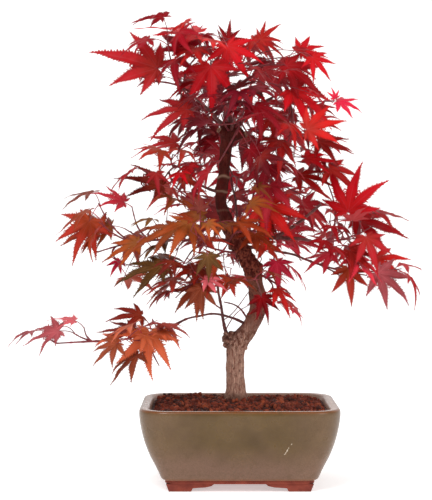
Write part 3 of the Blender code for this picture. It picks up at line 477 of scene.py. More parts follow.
# Thin bare shoots about the knob
BARE_SHOOTS = (
    Bough("knob_spur", "trunk", 157, (-15, 1, 179.5), (3, 2, 5), (1.1, 0.55)),
    Bough("knob_whisker", "knob_bough", 0.12, (10, -11, 177), (-2, -4, 3), (0.55, 0.35)),
    Bough("knob_hook", "knob_bough", 0.66, (-28.5, -6, 183), (1, 0, -3), (0.8, 0.45)),
    Bough("knob_stalk", "knob_bough", 0.5, (9, -14, 190), (0, -6, -2), (0.5, 0.35)),
)

# Limbs whose visible course differs from the straight sweep between their ends
DRAWN_PATHS = {
    "knob_bough": [
        Vector((-10, 2, 143)), Vector((-13.6, 2, 151)), Vector((-15.8, 3, 161)), Vector((-17.6, 3.6, 174)),
        Vector((-20.4, 4.4, 188)), Vector((-21.7, 5, 201)),
    ],
}


# The rule by which twigs and leaves grow, the same as the solids'
TRUNK_STEP = 8.5  # between two places on the trunk's line
TRUNK_CAP = (5.5, 0.62)  # height of the rounded top and its share of the last radius
TRUNK_SIDES = 12
BARK_SWELL = 0.45  # how uneven the bark is
BOUGH_SIDES = 5
BOUGH_STEP = 12.0  # between two joints of a limb
BOUGH_KINK = 0.7  # how far each joint of a limb strays
GAP = 0.3  # between a mass and what it doesn't belong to
TWIG_RADII = (1.25, 1.0)
STEM_RADIUS = 1.45
STEM_SINK = 1.5  # how far under the bark a stem starts
STEM_GAP = 0.7  # how far beyond a bough's tip it starts
TWIG_SIDES = 3
NODE_GAP = 24.0  # between two pairs of leaves
SHOOT_DEPTH = (0.34, 0.66)  # share of the space that shoots aim into
TRIES = 12
LEAD_TRIES = 24
STEM_TRIES = 40
SHRINK = 0.96  # of a leaf at each try
CLEAR = 0.5  # kept free round a leaf or twig
ROOT_SHARE = 0.22  # share of a stalk that may touch its own limb
# Half of a leaf's outline: degrees off its aim, and reach as a share of its size
HALF_LEAF = (
    (14.5, 0.48), (20.0, 0.30), (26.5, 0.44), (38.0, 0.86), (51.0, 0.43), (57.0, 0.28), (79.0, 0.62),
    (98.0, 0.34), (128.0, 0.04),
)
LEAF_SIZES = (36.0, 60.0)
LEAF_THICK = 0.026  # as a share of its size, as the droop is
LEAF_DROOP = (0.05, 0.30)
LEAF_FALL = (-0.15, 0.75)  # how far a blade points down
LEAF_LEAN = (-0.1, 0.6)  # how far its face leans outwards
LEAF_ROLL = 22.0  # degrees that it rolls about its length
LEAD_DROOP = 0.12
# Spaces kept free of leaves, so that the trunk shows: middle and reach
CLEARINGS = (
    ((-15.0, -58.0, 306.0), (11.0, 60.0, 42.0)),
    ((-1.0, -58.0, 222.0), (11.0, 56.0, 11.0)),
)
STALK_LENGTH = (0.36, 0.62)  # as a share of the blade's size
STALK_RADIUS = 0.34
NODE_STEP = 2.0  # between two leaves of a node
TIP_SINK = 1.2  # how far back from a twig's tip its leaf starts
STALK_BEND = 0.25  # least cosine between a stalk and its blade
STALK_WAY = (0.55, 0.75, 0.18, 0.25)  # how much a stalk goes ahead, sideways, up and outwards
STALK_STRAY = 0.25
BLADE_OUT = 0.45  # how much more a blade points outwards than its stalk
FLATTEST = 0.93  # greatest cosine between a blade's aim and its face
TIP_SHARE = 0.85  # size of the leaves at a twig's tip as a share of the others
TIP_BACK = 0.12  # how far back from its place a node lies, as a share of the gap
USUAL_SIZE = 0.55  # where between least and greatest the usual size lies
PAIR_STRAY = 0.3
ARC_KNEE = 0.45  # how far along its heading a twig's bow has its knee
ARC_STEP = 20.0  # between two places of a shoot
SHOOT_LIFT = 0.2  # how much a shoot turns up as it leaves
SHOOT_STRAY = 6.0
LEAD_STRAY = 3.0
HUB_STRAY = 0.25  # of the stem's tip, as a share of the space
HEIGHT_STRAY = 0.15
HIGHEST = 0.9  # how near to the top or foot of its space a shoot may aim
# Where a leading leaf's twig ends: behind its foot, under its face and above, as shares of its size
LEAD_BACK = ((0.3, 0.6), (0.0, 0.35), (-0.1, 0.2))
BLADE_SHARES = (0.35, 0.7)  # where between margin and foot a blade is tested

# What the rule goes on to grow here
FINE_CLEAR = 0.25
FINE_RADII = (0.7, 0.5)
FINE_SIZES = (26.0, 52.0)
FINE_TRIES = 60
FINE_REACH = (10.0, 62.0)  # shortest and longest finer shoot
FINE_DEPTH = 0.82  # share of the space that finer shoots may aim into
FINE_STEP = 15.0  # between two places of a finer shoot
FINE_AHEAD = 1.5  # how straight a finer shoot makes for its tip
FINE_SPREAD = 7  # how many places a finer leading shoot may leave from


def mix(a: Any, b: Any, share: float) -> Any:
    """The value that lies this share of the way from a to b."""
    return a + (b - a) * share


def clamp(value: float) -> float:
    """The value kept from 0 to 1."""
    return max(0.0, min(1.0, value))


def bell(away: float) -> float:
    """A smooth hump: 1 in its middle, and nearly 0 from twice its reach on."""
    return exp(-away * away)


def three(draw: Callable[[float, float], float], a: float, b: float) -> Vector:
    """A vector of three values drawn alike."""
    return Vector([draw(a, b) for _ in range(3)])


def pointing(turn: float, rise: float) -> Vector:
    """The direction at a compass angle and rise."""
    return Vector((cos(turn) * cos(rise), sin(turn) * cos(rise), sin(rise)))


def bow(start: Vector, knee: Vector, tip: Vector, t: float) -> Vector:
    """The place at a share of a bow that a knee pulls out."""
    return start * (1 - t) ** 2 + knee * 2 * t * (1 - t) + tip * t * t


def spline(rows: Sequence[tuple[Vector, float]], step: float) -> list[tuple[Vector, float]]:
    """Points every step along a smooth curve.

    Args:
        rows: The places that the curve passes through, each with its radius.
        step: How far apart the points are.

    Returns:
        Each point with its radius.
    """
    points = []
    for i in range(len(rows) - 1):
        before = rows[max(i - 1, 0)]
        start, end = rows[i], rows[i + 1]
        after = rows[min(i + 2, len(rows) - 1)]
        count = max(1, round((end[0] - start[0]).length / step))
        for j in range(count):
            t = j / count
            place = 0.5 * (
                2 * start[0]
                + (end[0] - before[0]) * t
                + (2 * before[0] - 5 * start[0] + 4 * end[0] - after[0]) * t * t
                + (3 * start[0] - before[0] - 3 * end[0] + after[0]) * t**3
            )
            points.append((place, mix(start[1], end[1], t)))
    points.append(rows[-1])
    return points


def resample(points: Line, radii: Sequence[float], step: float) -> Limb:
    """A smooth line through points, with a place at least every step."""
    line = spline(list(zip(points, radii)), step)
    return [p for p, _ in line], [r for _, r in line]


def trunk_line(step: float = TRUNK_STEP) -> list[tuple[Vector, float]]:
    """The trunk's centre line with its radius, from the soil to the knuckle at its top."""
    return spline([(Vector((x, y, z)), radius) for z, x, y, radius in TRUNK_BENDS], step)


def trunk_at(height: float) -> tuple[Vector, Vector, float]:
    """Place, heading and radius on the trunk's centre line at this height.

    Args:
        height: How far above the floor.

    Returns:
        The place, the heading and the radius.
    """
    line = trunk_line(2.0)
    index = min(range(1, len(line)), key=lambda i: abs(line[i][0].z - height))
    heading = (line[index][0] - line[index - 1][0]).normalized()
    return line[index][0], heading, line[index][1]


def knot_swell(place: Vector, radius: float, direction: Vector) -> float:
    """How far the knots lift the trunk's surface on one side of its centre line."""
    angle = degrees(atan2(direction.y, direction.x))
    return sum(knot.swell * knot.share(place.z, angle, radius) for knot in KNOTS)


def trunk_radius(place: Vector, radius: float, direction: Vector) -> float:
    """The trunk's radius on one side of its centre line: root flare, knots and uneven bark."""
    uneven = noise.noise((place + direction * radius) * 0.11) * BARK_SWELL * 2
    return radius + knot_swell(place, radius, direction) + uneven


def frames(points: Line) -> list[tuple[Vector, Vector]]:
    """A pair of cross directions at each point of a line, turned as little as possible.

    Args:
        points: The line.

    Returns:
        Two directions for each point.
    """
    headings = []
    for i in range(len(points)):
        ahead = points[min(i + 1, len(points) - 1)] - points[max(i - 1, 0)]
        headings.append(ahead.normalized())
    first = headings[0].orthogonal().normalized()
    if abs(headings[0].z) > 0.9:
        first = Vector((1.0, 0.0, 0.0))
    pairs = []
    for heading in headings:
        first = (first - heading * first.dot(heading)).normalized()
        pairs.append((first, heading.cross(first)))
    return pairs


def skin(loops: int, around: int) -> list[tuple[int, ...]]:
    """The faces of a closed skin over loops of so many points each, its ends capped.

    Args:
        loops: How many loops there are.
        around: How many points each has.

    Returns:
        The faces.
    """
    faces: list[tuple[int, ...]] = []
    for a in range(0, (loops - 1) * around, around):
        for k in range(around):
            nxt = (k + 1) % around
            faces.append((a + k, a + nxt, a + around + nxt, a + around + k))
    last = (loops - 1) * around
    return faces + [tuple(range(around - 1, -1, -1)), tuple(range(last, last + around))]


def tube(
    points: Line,
    radii: Sequence[float],
    sides: int,
    radius_at: Callable[[Vector, float, Vector], float] | None = None,
) -> Mesh:
    """A closed tube along a line.

    Args:
        points: The centre line.
        radii: The radius at each point.
        sides: How many sides the tube has.
        radius_at: The reach from a point, with its radius, in a direction, where the tube isn't round.

    Returns:
        The tube's vertices and faces.
    """
    verts = []
    for place, pair, radius in zip(points, frames(points), radii):
        for k in range(sides):
            turn = tau * k / sides
            out = pair[0] * cos(turn) + pair[1] * sin(turn)
            reach = radius_at(place, radius, out) if radius_at else radius
            verts.append(place + out * reach)
    return verts, skin(len(points), sides)


def bough_line(bough: Bough, lines: Limbs) -> Limb:
    """The limb's points and radii, from its parent's centre line to its tip.

    Args:
        bough: The limb.
        lines: The limbs laid out so far.

    Returns:
        Its points and radii.
    """
    if bough.parent == "trunk":
        start = trunk_at(bough.at)[0]
    else:
        parent = lines[bough.parent][0]
        start = parent[round(bough.at * (len(parent) - 1))]
    tip, sag = Vector(bough.tip), Vector(bough.bow)
    count = max(4, round((tip - start).length / BOUGH_STEP))
    rng = Random(bough.name)
    points, radii = [], []
    for i in range(count + 1):
        t = i / count
        stray = three(rng.uniform, -BOUGH_KINK, BOUGH_KINK) * (0.0 if i in (0, count) else 1.0)
        points.append(start.lerp(tip, t) + sag * 4 * t * (1 - t) + stray)
        radii.append(mix(bough.radii[0], bough.radii[1], t))
    return points, radii


class Leaf(NamedTuple):
    """One leaf: the blade's foot, where it points and faces, its size, its droop and its root."""

    foot: Vector
    aim: Vector
    face: Vector
    size: float
    droop: float
    root: Vector


class Twig(NamedTuple):
    """A shoot: its points and radii."""

    points: Line
    radii: list[float]


def leaf_guard(leaf: Leaf, grow: float) -> Mesh:
    """The plain closed shape that keeps a leaf and its stalk clear of the rest, thicker by grow.

    Args:
        leaf: The leaf.
        grow: How much thicker than the leaf the shape is.

    Returns:
        Its vertices and faces.
    """
    aim = leaf.aim.normalized()
    side = leaf.face.cross(aim).normalized()
    normal = aim.cross(side)
    polar = [(-a, r) for a, r in reversed(HALF_LEAF)] + [(0.0, 1.0)] + list(HALF_LEAF)
    verts = []
    for angle, share in polar:
        turn, reach = radians(angle), share * leaf.size + grow
        sink = -leaf.droop * reach * reach / leaf.size
        across = aim * reach * cos(turn) + side * reach * sin(turn)
        verts.append(leaf.foot + across + normal * sink)
    count = len(verts)
    half = leaf.size * LEAF_THICK / 2 + grow
    verts += [leaf.foot + normal * half, leaf.foot - normal * half]
    faces: list[tuple[int, ...]] = [(count, i, i + 1) for i in range(count - 1)]
    faces += [(count + 1, i + 1, i) for i in range(count - 1)]
    along = (leaf.foot - leaf.root).normalized()
    across = (side - along * side.dot(along)).normalized() * (STALK_RADIUS + grow)
    over = along.cross(across)
    verts += [leaf.root + over, leaf.root - across, leaf.root - over, leaf.root + across]
    blade = (count, 0, count + 1, count - 1)
    stalk = range(count + 2, count + 6)
    for i in range(4):
        j = (i + 1) % 4
        faces.append((blade[j], blade[i], stalk[i], stalk[j]))
    faces.append(tuple(reversed(stalk)))
    return verts, faces


class Thicket:
    """What has grown so far: each piece with its owner, box and search tree, to test new growth against."""

    def __init__(self) -> None:
        """Starts empty."""
        self.pieces: list[tuple[str, Vector, Vector, BVHTree]] = []

    @staticmethod
    def box(verts: Line) -> tuple[Vector, Vector]:
        """The lowest and highest corners of the vertices.

        Args:
            verts: The vertices.

        Returns:
            The two corners.
        """
        low = Vector([min(v[i] for v in verts) for i in range(3)])
        high = Vector([max(v[i] for v in verts) for i in range(3)])
        return low, high

    def add(self, mesh: Mesh, owner: str) -> None:
        """Adds a mesh that belongs to this owner."""
        self.pieces.append((owner, *self.box(mesh[0]), BVHTree.FromPolygons(*mesh)))

    def meets(self, mesh: Mesh, friend: str | None = None) -> bool:
        """True where the mesh cuts a piece, those of the friend left out.

        Args:
            mesh: The mesh to test.
            friend: The owner whose pieces don't count.

        Returns:
            Whether it cuts one.
        """
        low, high = self.box(mesh[0])
        tree = None
        for owner, other_low, other_high, other in self.pieces:
            apart = any(low[i] > other_high[i] or high[i] < other_low[i] for i in range(3))
            if apart or owner == friend:
                continue
            tree = tree or BVHTree.FromPolygons(*mesh)
            if tree.overlap(other):
                return True
        return False


def inside(mass: Mass, points: Iterable[Vector]) -> bool:
    """True where all the points lie in the mass's own space.

    Args:
        mass: The mass.
        points: The points.

    Returns:
        Whether they do.
    """
    for point in points:
        away = [(point[i] - mass.centre[i]) / mass.reach[i] for i in range(3)]
        if sum(a**4 for a in away) > 1.0:
            return False
    return True


def in_clearing(blade: Line, foot: Vector) -> bool:
    """True where a blade reaches into one of the clearings.

    Args:
        blade: Points round the blade.
        foot: Its foot.

    Returns:
        Whether it does.
    """
    points = blade + [point.lerp(foot, share) for point in blade for share in BLADE_SHARES]
    for middle, reach in CLEARINGS:
        for point in points:
            if all(abs(point[i] - middle[i]) < reach[i] for i in range(3)):
                return True
    return False


def within_frame(points: Iterable[Vector]) -> bool:
    """True where all the points lie in the box of the solids."""
    low, high = [(corner - ORIGIN) / METRES for corner in CAD_BOX]
    return all(low[i] <= point[i] <= high[i] for point in points for i in range(3))


def arc(start: Vector, heading: Vector, tip: Vector, count: int) -> Line:
    """Points from start to tip that leave along the heading."""
    knee = start + heading * (tip - start).length * ARC_KNEE
    return [bow(start, knee, tip, i / count) for i in range(count + 1)]


class Growth:
    """Grows one mass of leaves by a seeded rule: a stem, shoots from it, leaves in pairs, finer shoots."""

    def __init__(self, mass: Mass, start: Vector, heading: Vector, thicket: Thicket) -> None:
        """Grows the stem and the leading leaves.

        Args:
            mass: What to grow, and its space.
            start: Where the stem begins.
            heading: Which way it sets out.
            thicket: What has grown so far.
        """
        self.mass = mass
        self.thicket = thicket
        self.twigs: list[Twig] = []
        self.leaves: list[Leaf] = []
        self.sprays: list[tuple[int, Tint | None]] = []
        self.spray = 0
        self.fine = False
        self.clear = CLEAR
        self.sizes = LEAF_SIZES
        self.limit = mass.leaves
        self.rng = Random(mass.name)
        self.stem: Twig | None = None
        for _ in range(STEM_TRIES):  # all are drawn, so that what is drawn next doesn't change
            away = [self.rng.uniform(-HUB_STRAY, HUB_STRAY) for _ in range(3)]
            hub = Vector([c + a * r for c, a, r in zip(mass.centre, away, mass.reach)])
            self.stem = self.stem or self.grow_twig(arc(start, heading, hub, 4), (STEM_RADIUS, TWIG_RADII[0]))
        if not self.stem:
            raise ValueError(f"{mass.name}: the stem finds no way through")
        for lead in LEADS.get(mass.name, ()):
            self.grow_lead(lead)

    def grow_twig(self, points: Line, ends: Pair) -> Twig | None:
        """Adds a twig unless it would touch a limb or a leaf.

        Args:
            points: Its centre line.
            ends: Its radii at its two ends.

        Returns:
            The twig, or None where it has no room.
        """
        last = len(points) - 1
        radii = [mix(ends[0], ends[1], i / last) for i in range(last + 1)]
        thick = [r + self.clear for r in radii]
        mesh = tube(points, thick, TWIG_SIDES)
        beyond_root = tube(points[1:], thick[1:], TWIG_SIDES)
        if self.thicket.meets(beyond_root) or (self.twigs and self.thicket.meets(mesh, self.mass.name)):
            return None
        twig = Twig(points, radii)
        self.twigs.append(twig)
        self.thicket.add(mesh, self.mass.name)
        return twig

    def grow_leaf(self, leaf: Leaf, tint: Tint | None = None) -> bool:
        """Adds a leaf unless it would leave the space or touch what has grown.

        Args:
            leaf: The leaf.
            tint: Its own tint, if it has one.

        Returns:
            Whether it has grown.
        """
        mesh = leaf_guard(leaf, self.clear)
        blade = mesh[0][: len(HALF_LEAF) * 2 + 1]
        if not inside(self.mass, blade) or in_clearing(blade, leaf.foot):
            return False
        if self.fine and not within_frame(mesh[0]):
            return False
        beyond_root = leaf_guard(leaf._replace(root=leaf.root.lerp(leaf.foot, ROOT_SHARE)), self.clear)
        if self.thicket.meets(beyond_root) or self.thicket.meets(mesh, self.mass.name):
            return False
        self.leaves.append(leaf)
        self.sprays.append((self.spray, tint))
        self.thicket.add(mesh, self.mass.name)
        return True

    def draw_leaf(self, node: Vector, ahead: Vector, sideways: Vector, size: float) -> Leaf:
        """A leaf drawn at random about a node: stalk outwards, blade hanging out and down.

        Args:
            node: Where it leaves the twig.
            ahead: The twig's heading there.
            sideways: Which way off the twig its stalk leans.
            size: The blade's length.

        Returns:
            The leaf.
        """
        rng = self.rng
        outward = Vector((node.x, node.y, 0.0))
        outward = outward.normalized() if outward.length > 1 else Vector(sideways)
        stray = three(rng.gauss, 0.0, STALK_STRAY)
        on, aside, up, out = STALK_WAY
        stalk = (ahead * on + sideways * aside + UP * up + outward * out + stray).normalized()
        foot = node + stalk * size * rng.uniform(*STALK_LENGTH)
        flat = Vector((stalk.x, stalk.y, 0.0)) + outward * BLADE_OUT
        aim = (flat.normalized() - UP * rng.uniform(*LEAF_FALL) + stray * 0.5).normalized()
        if aim.dot(stalk) < STALK_BEND:
            aim = (aim + stalk * 2 * (STALK_BEND - aim.dot(stalk))).normalized()
        face = UP + outward * rng.uniform(*LEAF_LEAN)
        face.rotate(Matrix.Rotation(radians(rng.gauss(0.0, LEAF_ROLL)), 3, aim))
        if abs(face.normalized().dot(aim)) > FLATTEST:
            face = aim.orthogonal()
        return Leaf(foot, aim, face, size, rng.uniform(*LEAF_DROOP), node)

    def dress(self, twig: Twig) -> None:
        """Leaves in opposite pairs along a twig, each pair turned from the last, and one at its tip.

        Args:
            twig: The twig.
        """
        rng = self.rng
        points = twig.points
        self.spray += 1
        length = sum((b - a).length for a, b in zip(points, points[1:]))
        nodes = max(1, round(length / NODE_GAP))
        turn = rng.uniform(0.0, pi)
        for k in range(nodes, 0, -1):
            share = (k - TIP_BACK) / nodes if k < nodes else 1.0
            place = share * (len(points) - 1)
            i = min(int(place), len(points) - 2)
            ahead = (points[i + 1] - points[i]).normalized()
            node = points[i].lerp(points[i + 1], place - i) - ahead * TIP_SINK
            cross = ahead.orthogonal().normalized()
            sideways = cross * cos(turn) + ahead.cross(cross) * sin(turn)
            turn += pi / 2 + rng.uniform(-PAIR_STRAY, PAIR_STRAY)
            for side in (ahead, sideways, -sideways) if k == nodes else (sideways, -sideways):
                node -= ahead * NODE_STEP
                low, high = self.sizes
                size = rng.triangular(low, high, mix(low, high, USUAL_SIZE))
                size *= TIP_SHARE if k == nodes else 1.0
                for _ in range(TRIES):
                    if len(self.leaves) >= self.limit:
                        return
                    if self.grow_leaf(self.draw_leaf(node, ahead, side, size)):
                        break
                    size *= SHRINK

    def target(self, i: int, count: int, phase: float) -> Vector:
        """Where a shoot aims: spread evenly over the space by the golden angle.

        Args:
            i: Which shoot it is.
            count: How many there are.
            phase: The turn that they all start from.

        Returns:
            The place.
        """
        rng = self.rng
        depth = rng.uniform(*SHOOT_DEPTH)
        height = 1 - 2 * (i + 0.5) / count + rng.uniform(-HEIGHT_STRAY, HEIGHT_STRAY)
        height = max(-HIGHEST, min(HIGHEST, height))
        turn = phase + i * pi * (3 - sqrt(5))
        ring = sqrt(1 - height * height)
        away = (ring * cos(turn), ring * sin(turn), height)
        return Vector([c + a * depth * r for c, a, r in zip(self.mass.centre, away, self.mass.reach)])

    def shoot(self, tip: Vector, stray: float) -> Twig | None:
        """A twig from the stem to a tip, tried from several places, or None.

        Args:
            tip: Where it ends.
            stray: How far its tip may stray.

        Returns:
            The twig, or None.
        """
        rng = self.rng
        points = self.stem.points
        for _ in range(TRIES):
            near = min(range(1, len(points)), key=lambda i: (points[i] - tip).length)
            index = max(1, near - rng.choice((0, 1, 1, 2)))
            start = points[index]
            aimed = tip + three(rng.uniform, -stray, stray)
            ahead = (points[index] - points[index - 1]).normalized()
            heading = (ahead + (aimed - start).normalized() + UP * SHOOT_LIFT).normalized()
            count = max(2, min(4, round((aimed - start).length / ARC_STEP)))
            twig = self.grow_twig(arc(start, heading, aimed, count), TWIG_RADII)
            if twig:
                return twig
        return None

    def grow_lead(self, lead: Lead) -> None:
        """A leading leaf on a twig of its own, which comes up behind its blade.

        Args:
            lead: The leaf as it is drawn up.
        """
        rng = self.rng
        foot, size = Vector(lead.foot), lead.size
        aim, face = Vector(lead.aim).normalized(), Vector(lead.face).normalized()
        for _ in range(FINE_TRIES if self.fine else LEAD_TRIES):
            twigs, pieces = len(self.twigs), len(self.thicket.pieces)
            behind, under, above = (rng.uniform(*ends) for ends in LEAD_BACK)
            tip = foot - (aim * behind + face * under - UP * above) * size
            twig = self.fine_shoot(tip, FINE_SPREAD) if self.fine else self.shoot(tip, LEAD_STRAY)
            if not twig:
                continue
            ahead = (twig.points[-1] - twig.points[-2]).normalized()
            root = twig.points[-1] - ahead * TIP_SINK
            if self.grow_leaf(Leaf(foot, aim, face, size, LEAD_DROOP, root), lead.tint):
                return
            del self.twigs[twigs:], self.thicket.pieces[pieces:]

    def fill(self) -> None:
        """The shoots that fill the space, then leaves on every twig that has room."""
        self.rng = Random(f"{self.mass.name} {self.mass.seed}")
        phase = self.rng.uniform(0.0, tau)
        leading = self.twigs[1:]
        for i in range(self.mass.shoots):
            twig = self.shoot(self.target(i, self.mass.shoots, phase), SHOOT_STRAY)
            if twig:
                self.dress(twig)
        for twig in leading + self.twigs[:1]:
            if len(self.leaves) < self.limit:
                self.dress(twig)

    def fine_shoot(self, tip: Vector, spread: int = 1) -> Twig | None:
        """A finer shoot to a tip from one of the nearest places on the twigs, or None.

        Args:
            tip: Where it ends.
            spread: How many of the nearest places it may leave from.

        Returns:
            The twig, or None.
        """
        places = sorted(
            ((point - tip).length, t, i)
            for t, twig in enumerate(self.twigs)
            for i, point in enumerate(twig.points[1:], 1)
        )
        distance, t, i = self.rng.choice(places[:spread])
        if not FINE_REACH[0] < distance < FINE_REACH[1]:
            return None
        points = self.twigs[t].points
        ahead = (points[i] - points[i - 1]).normalized()
        straight = (tip - points[i]).normalized() * FINE_AHEAD
        heading = (ahead + straight + UP * SHOOT_LIFT).normalized()
        return self.grow_twig(arc(points[i], heading, tip, max(2, round(distance / FINE_STEP))), FINE_RADII)

    def spray_tints(self) -> list[Tint]:
        """The tint of each leaf: a leading leaf's own, or else one dealt out to its whole spray.

        Returns:
            A tint for each leaf.
        """
        rng = Random(self.mass.name + " tints")
        dealt = [rng.choice(self.mass.tints) for _ in range(self.spray + 1)]
        return [tint or dealt[spray] for spray, tint in self.sprays]

    def refine(self) -> None:
        """Finer shoots with smaller leaves: those that lead, then others until the space is full enough."""
        rng = self.rng = Random(f"{self.mass.name} fine {self.mass.fine_seed}")
        self.fine, self.clear, self.sizes = True, FINE_CLEAR, FINE_SIZES
        self.limit = len(self.leaves) + self.mass.fine
        for _ in range(FINE_TRIES):
            if len(self.leaves) >= self.limit:
                return
            twigs, pieces, leaves = len(self.twigs), len(self.thicket.pieces), len(self.leaves)
            away = [rng.uniform(-FINE_DEPTH, FINE_DEPTH) for _ in range(3)]
            tip = Vector([c + a * r for c, a, r in zip(self.mass.centre, away, self.mass.reach)])
            twig = self.fine_shoot(tip)
            if twig:
                self.dress(twig)
                if len(self.leaves) == leaves:
                    del self.twigs[twigs:], self.thicket.pieces[pieces:]

    def lead_finely(self) -> None:
        """The leading leaves that come on finer shoots."""
        self.rng = Random(self.mass.name + " fine leads")
        self.fine, self.clear, self.sizes = True, FINE_CLEAR, FINE_SIZES
        self.spray += 1
        for lead in FINE_LEADS.get(self.mass.name, ()):
            self.grow_lead(lead)


def limb_lines() -> Limbs:
    """The centre lines and radii of the trunk and every bough.

    Returns:
        Each limb's line by its name.
    """
    line = trunk_line()
    lines: Limbs = {"trunk": ([p for p, _ in line], [r for _, r in line])}
    for bough in BOUGHS:
        lines[bough.name] = bough_line(bough, lines)
    return lines


def shoot_lines(lines: Limbs) -> list[Limb]:
    """The centre lines and radii of the bare shoots."""
    lines = {**lines, **{name: (path, []) for name, path in DRAWN_PATHS.items()}}
    return [bough_line(shoot, lines) for shoot in BARE_SHOOTS]


def limb_mesh(name: str, lines: Limbs, grow: float = 0.0) -> Mesh:
    """The closed mesh of the trunk or of a bough as in the solids, thicker by grow.

    Args:
        name: The limb.
        lines: The lines of all limbs.
        grow: How much thicker it is.

    Returns:
        Its vertices and faces.
    """
    points, radii = lines[name]
    if name != "trunk":
        return tube(points, [r + grow for r in radii], BOUGH_SIDES)
    cap, share = TRUNK_CAP
    ahead = (points[-1] - points[-2]).normalized()
    points = points + [points[-1] + ahead * (cap + grow)]
    radii = radii + [radii[-1] * share]
    verts, faces = tube(
        points, radii, TRUNK_SIDES, lambda place, radius, out: trunk_radius(place, radius, out) + grow
    )
    for vert in verts[:TRUNK_SIDES]:
        vert.z = TRUNK_BENDS[0][0] - grow
    return verts, faces


def mass_start(mass: Mass, lines: Limbs) -> tuple[Vector, Vector]:
    """Where a mass's stem begins, and its heading.

    Args:
        mass: The mass.
        lines: The lines of all limbs.

    Returns:
        The place and the heading.
    """
    if mass.limb == "trunk":
        place = trunk_at(mass.at)[0]
        heading = (Vector(mass.centre) - place).normalized()
        bark = BVHTree.FromPolygons(*limb_mesh("trunk", lines))
        reach = bark.ray_cast(place, heading)[3]
        return place + heading * (reach - STEM_SINK), heading
    points = lines[mass.limb][0]
    heading = (points[-1] - points[-2]).normalized()
    return points[-1] + heading * STEM_GAP, heading


def grow_all(lines: Limbs) -> list[Growth]:
    """Every mass of leaves, grown among the limbs: leading leaves, then the rest, then the finer ones.

    Args:
        lines: The lines of all limbs.

    Returns:
        The masses as grown.
    """
    thicket = Thicket()
    for name in lines:
        thicket.add(limb_mesh(name, lines, GAP * 2), name)
    grown = [Growth(mass, *mass_start(mass, lines), thicket) for mass in MASSES]
    for growth in grown:
        growth.fill()
    for growth in grown:
        growth.lead_finely()
    for growth in grown:
        growth.refine()
    return grown


# Shading: node trees, effects that several finishes share, and the finishes themselves


class Graph:
    """A node tree being laid out: adds nodes, and links or sets their sockets."""

    def __init__(self, tree: bpy.types.NodeTree) -> None:
        """Takes a tree to add to."""
        self.tree = tree

    def add(self, kind: str, feeds: dict[int | str, Any] | None = None, **settings: Any) -> bpy.types.Node:
        """Adds a node.

        Args:
            kind: The node's type.
            feeds: What each input takes: another node's output, or a value.
            **settings: The node's own options.

        Returns:
            The node.
        """
        node = self.tree.nodes.new(kind)
        for name, value in settings.items():
            setattr(node, name, value)
        for key, value in (feeds or {}).items():
            self.feed(node.inputs[key], value)
        return node

    def feed(self, socket: Socket, value: Any) -> None:
        """Links an output to a socket, or sets a plain value on it.

        Args:
            socket: The input.
            value: What it takes.
        """
        if isinstance(value, bpy.types.NodeSocket):
            self.tree.links.new(value, socket)
        else:
            socket.default_value = value

    def sum(self, operation: str, a: Any, b: Any = 0.0) -> Socket:
        """One step of arithmetic on two values."""
        return self.add("ShaderNodeMath", {0: a, 1: b}, operation=operation).outputs[0]

    def times(self, a: Any, b: Any) -> Socket:
        """The product of two values."""
        return self.sum("MULTIPLY", a, b)

    def plus(self, a: Any, b: Any) -> Socket:
        """The sum of two values."""
        return self.sum("ADD", a, b)

    def less(self, a: Any, b: Any) -> Socket:
        """Value a with value b taken away."""
        return self.sum("SUBTRACT", a, b)

    def vector(self, operation: str, a: Any, b: Any) -> Socket:
        """One step of arithmetic on two vectors."""
        return self.add("ShaderNodeVectorMath", {0: a, 1: b}, operation=operation).outputs[0]

    def blend(self, share: Any, a: Any, b: Any, strength: float = 1.0) -> Socket:
        """Turns one colour into another.

        Args:
            share: How far, from 0 to 1.
            a: The first colour: an output, or a plain one as linear() takes or gives.
            b: The second.
            strength: What the share is multiplied by.

        Returns:
            The blended colour.
        """
        if strength != 1.0:
            share = self.times(share, strength)
        a, b = (linear(c) if isinstance(c, tuple) and len(c) == 3 else c for c in (a, b))
        return self.add("ShaderNodeMix", {0: share, 6: a, 7: b}, data_type="RGBA").outputs[2]

    def span(self, value: Any, low: Any, high: Any, start: Any = 0.0, end: Any = 1.0) -> Socket:
        """A value between low and high eased to lie between start and end."""
        feeds = {0: value, 1: low, 2: high, 3: start, 4: end}
        return self.add("ShaderNodeMapRange", feeds, interpolation_type="SMOOTHSTEP").outputs[0]

    def noise(self, place: Any, scale: Any, detail: float = 3.0, rough: float = 0.55) -> Socket:
        """Soft noise about 0.5."""
        feeds = {"Vector": place, "Scale": scale, "Detail": detail, "Roughness": rough}
        return self.add("ShaderNodeTexNoise", feeds).outputs[0]

    def part(self, vector: Any, axis: str) -> Socket:
        """One coordinate of a vector."""
        return self.add("ShaderNodeSeparateXYZ", {0: vector}).outputs[axis]


def mottle(graph: Graph, got: Sockets) -> Sockets:
    """Cloudy patches of 0 to 1.

    Args:
        graph: The group's graph.
        got: Its inputs.

    Returns:
        Its outputs.
    """
    cloud = graph.noise(got["Place"], got["Scale"], 4.0, 0.6)
    low, high = graph.less(0.5, got["Softness"]), graph.plus(0.5, got["Softness"])
    return {"Patches": graph.span(cloud, low, high)}


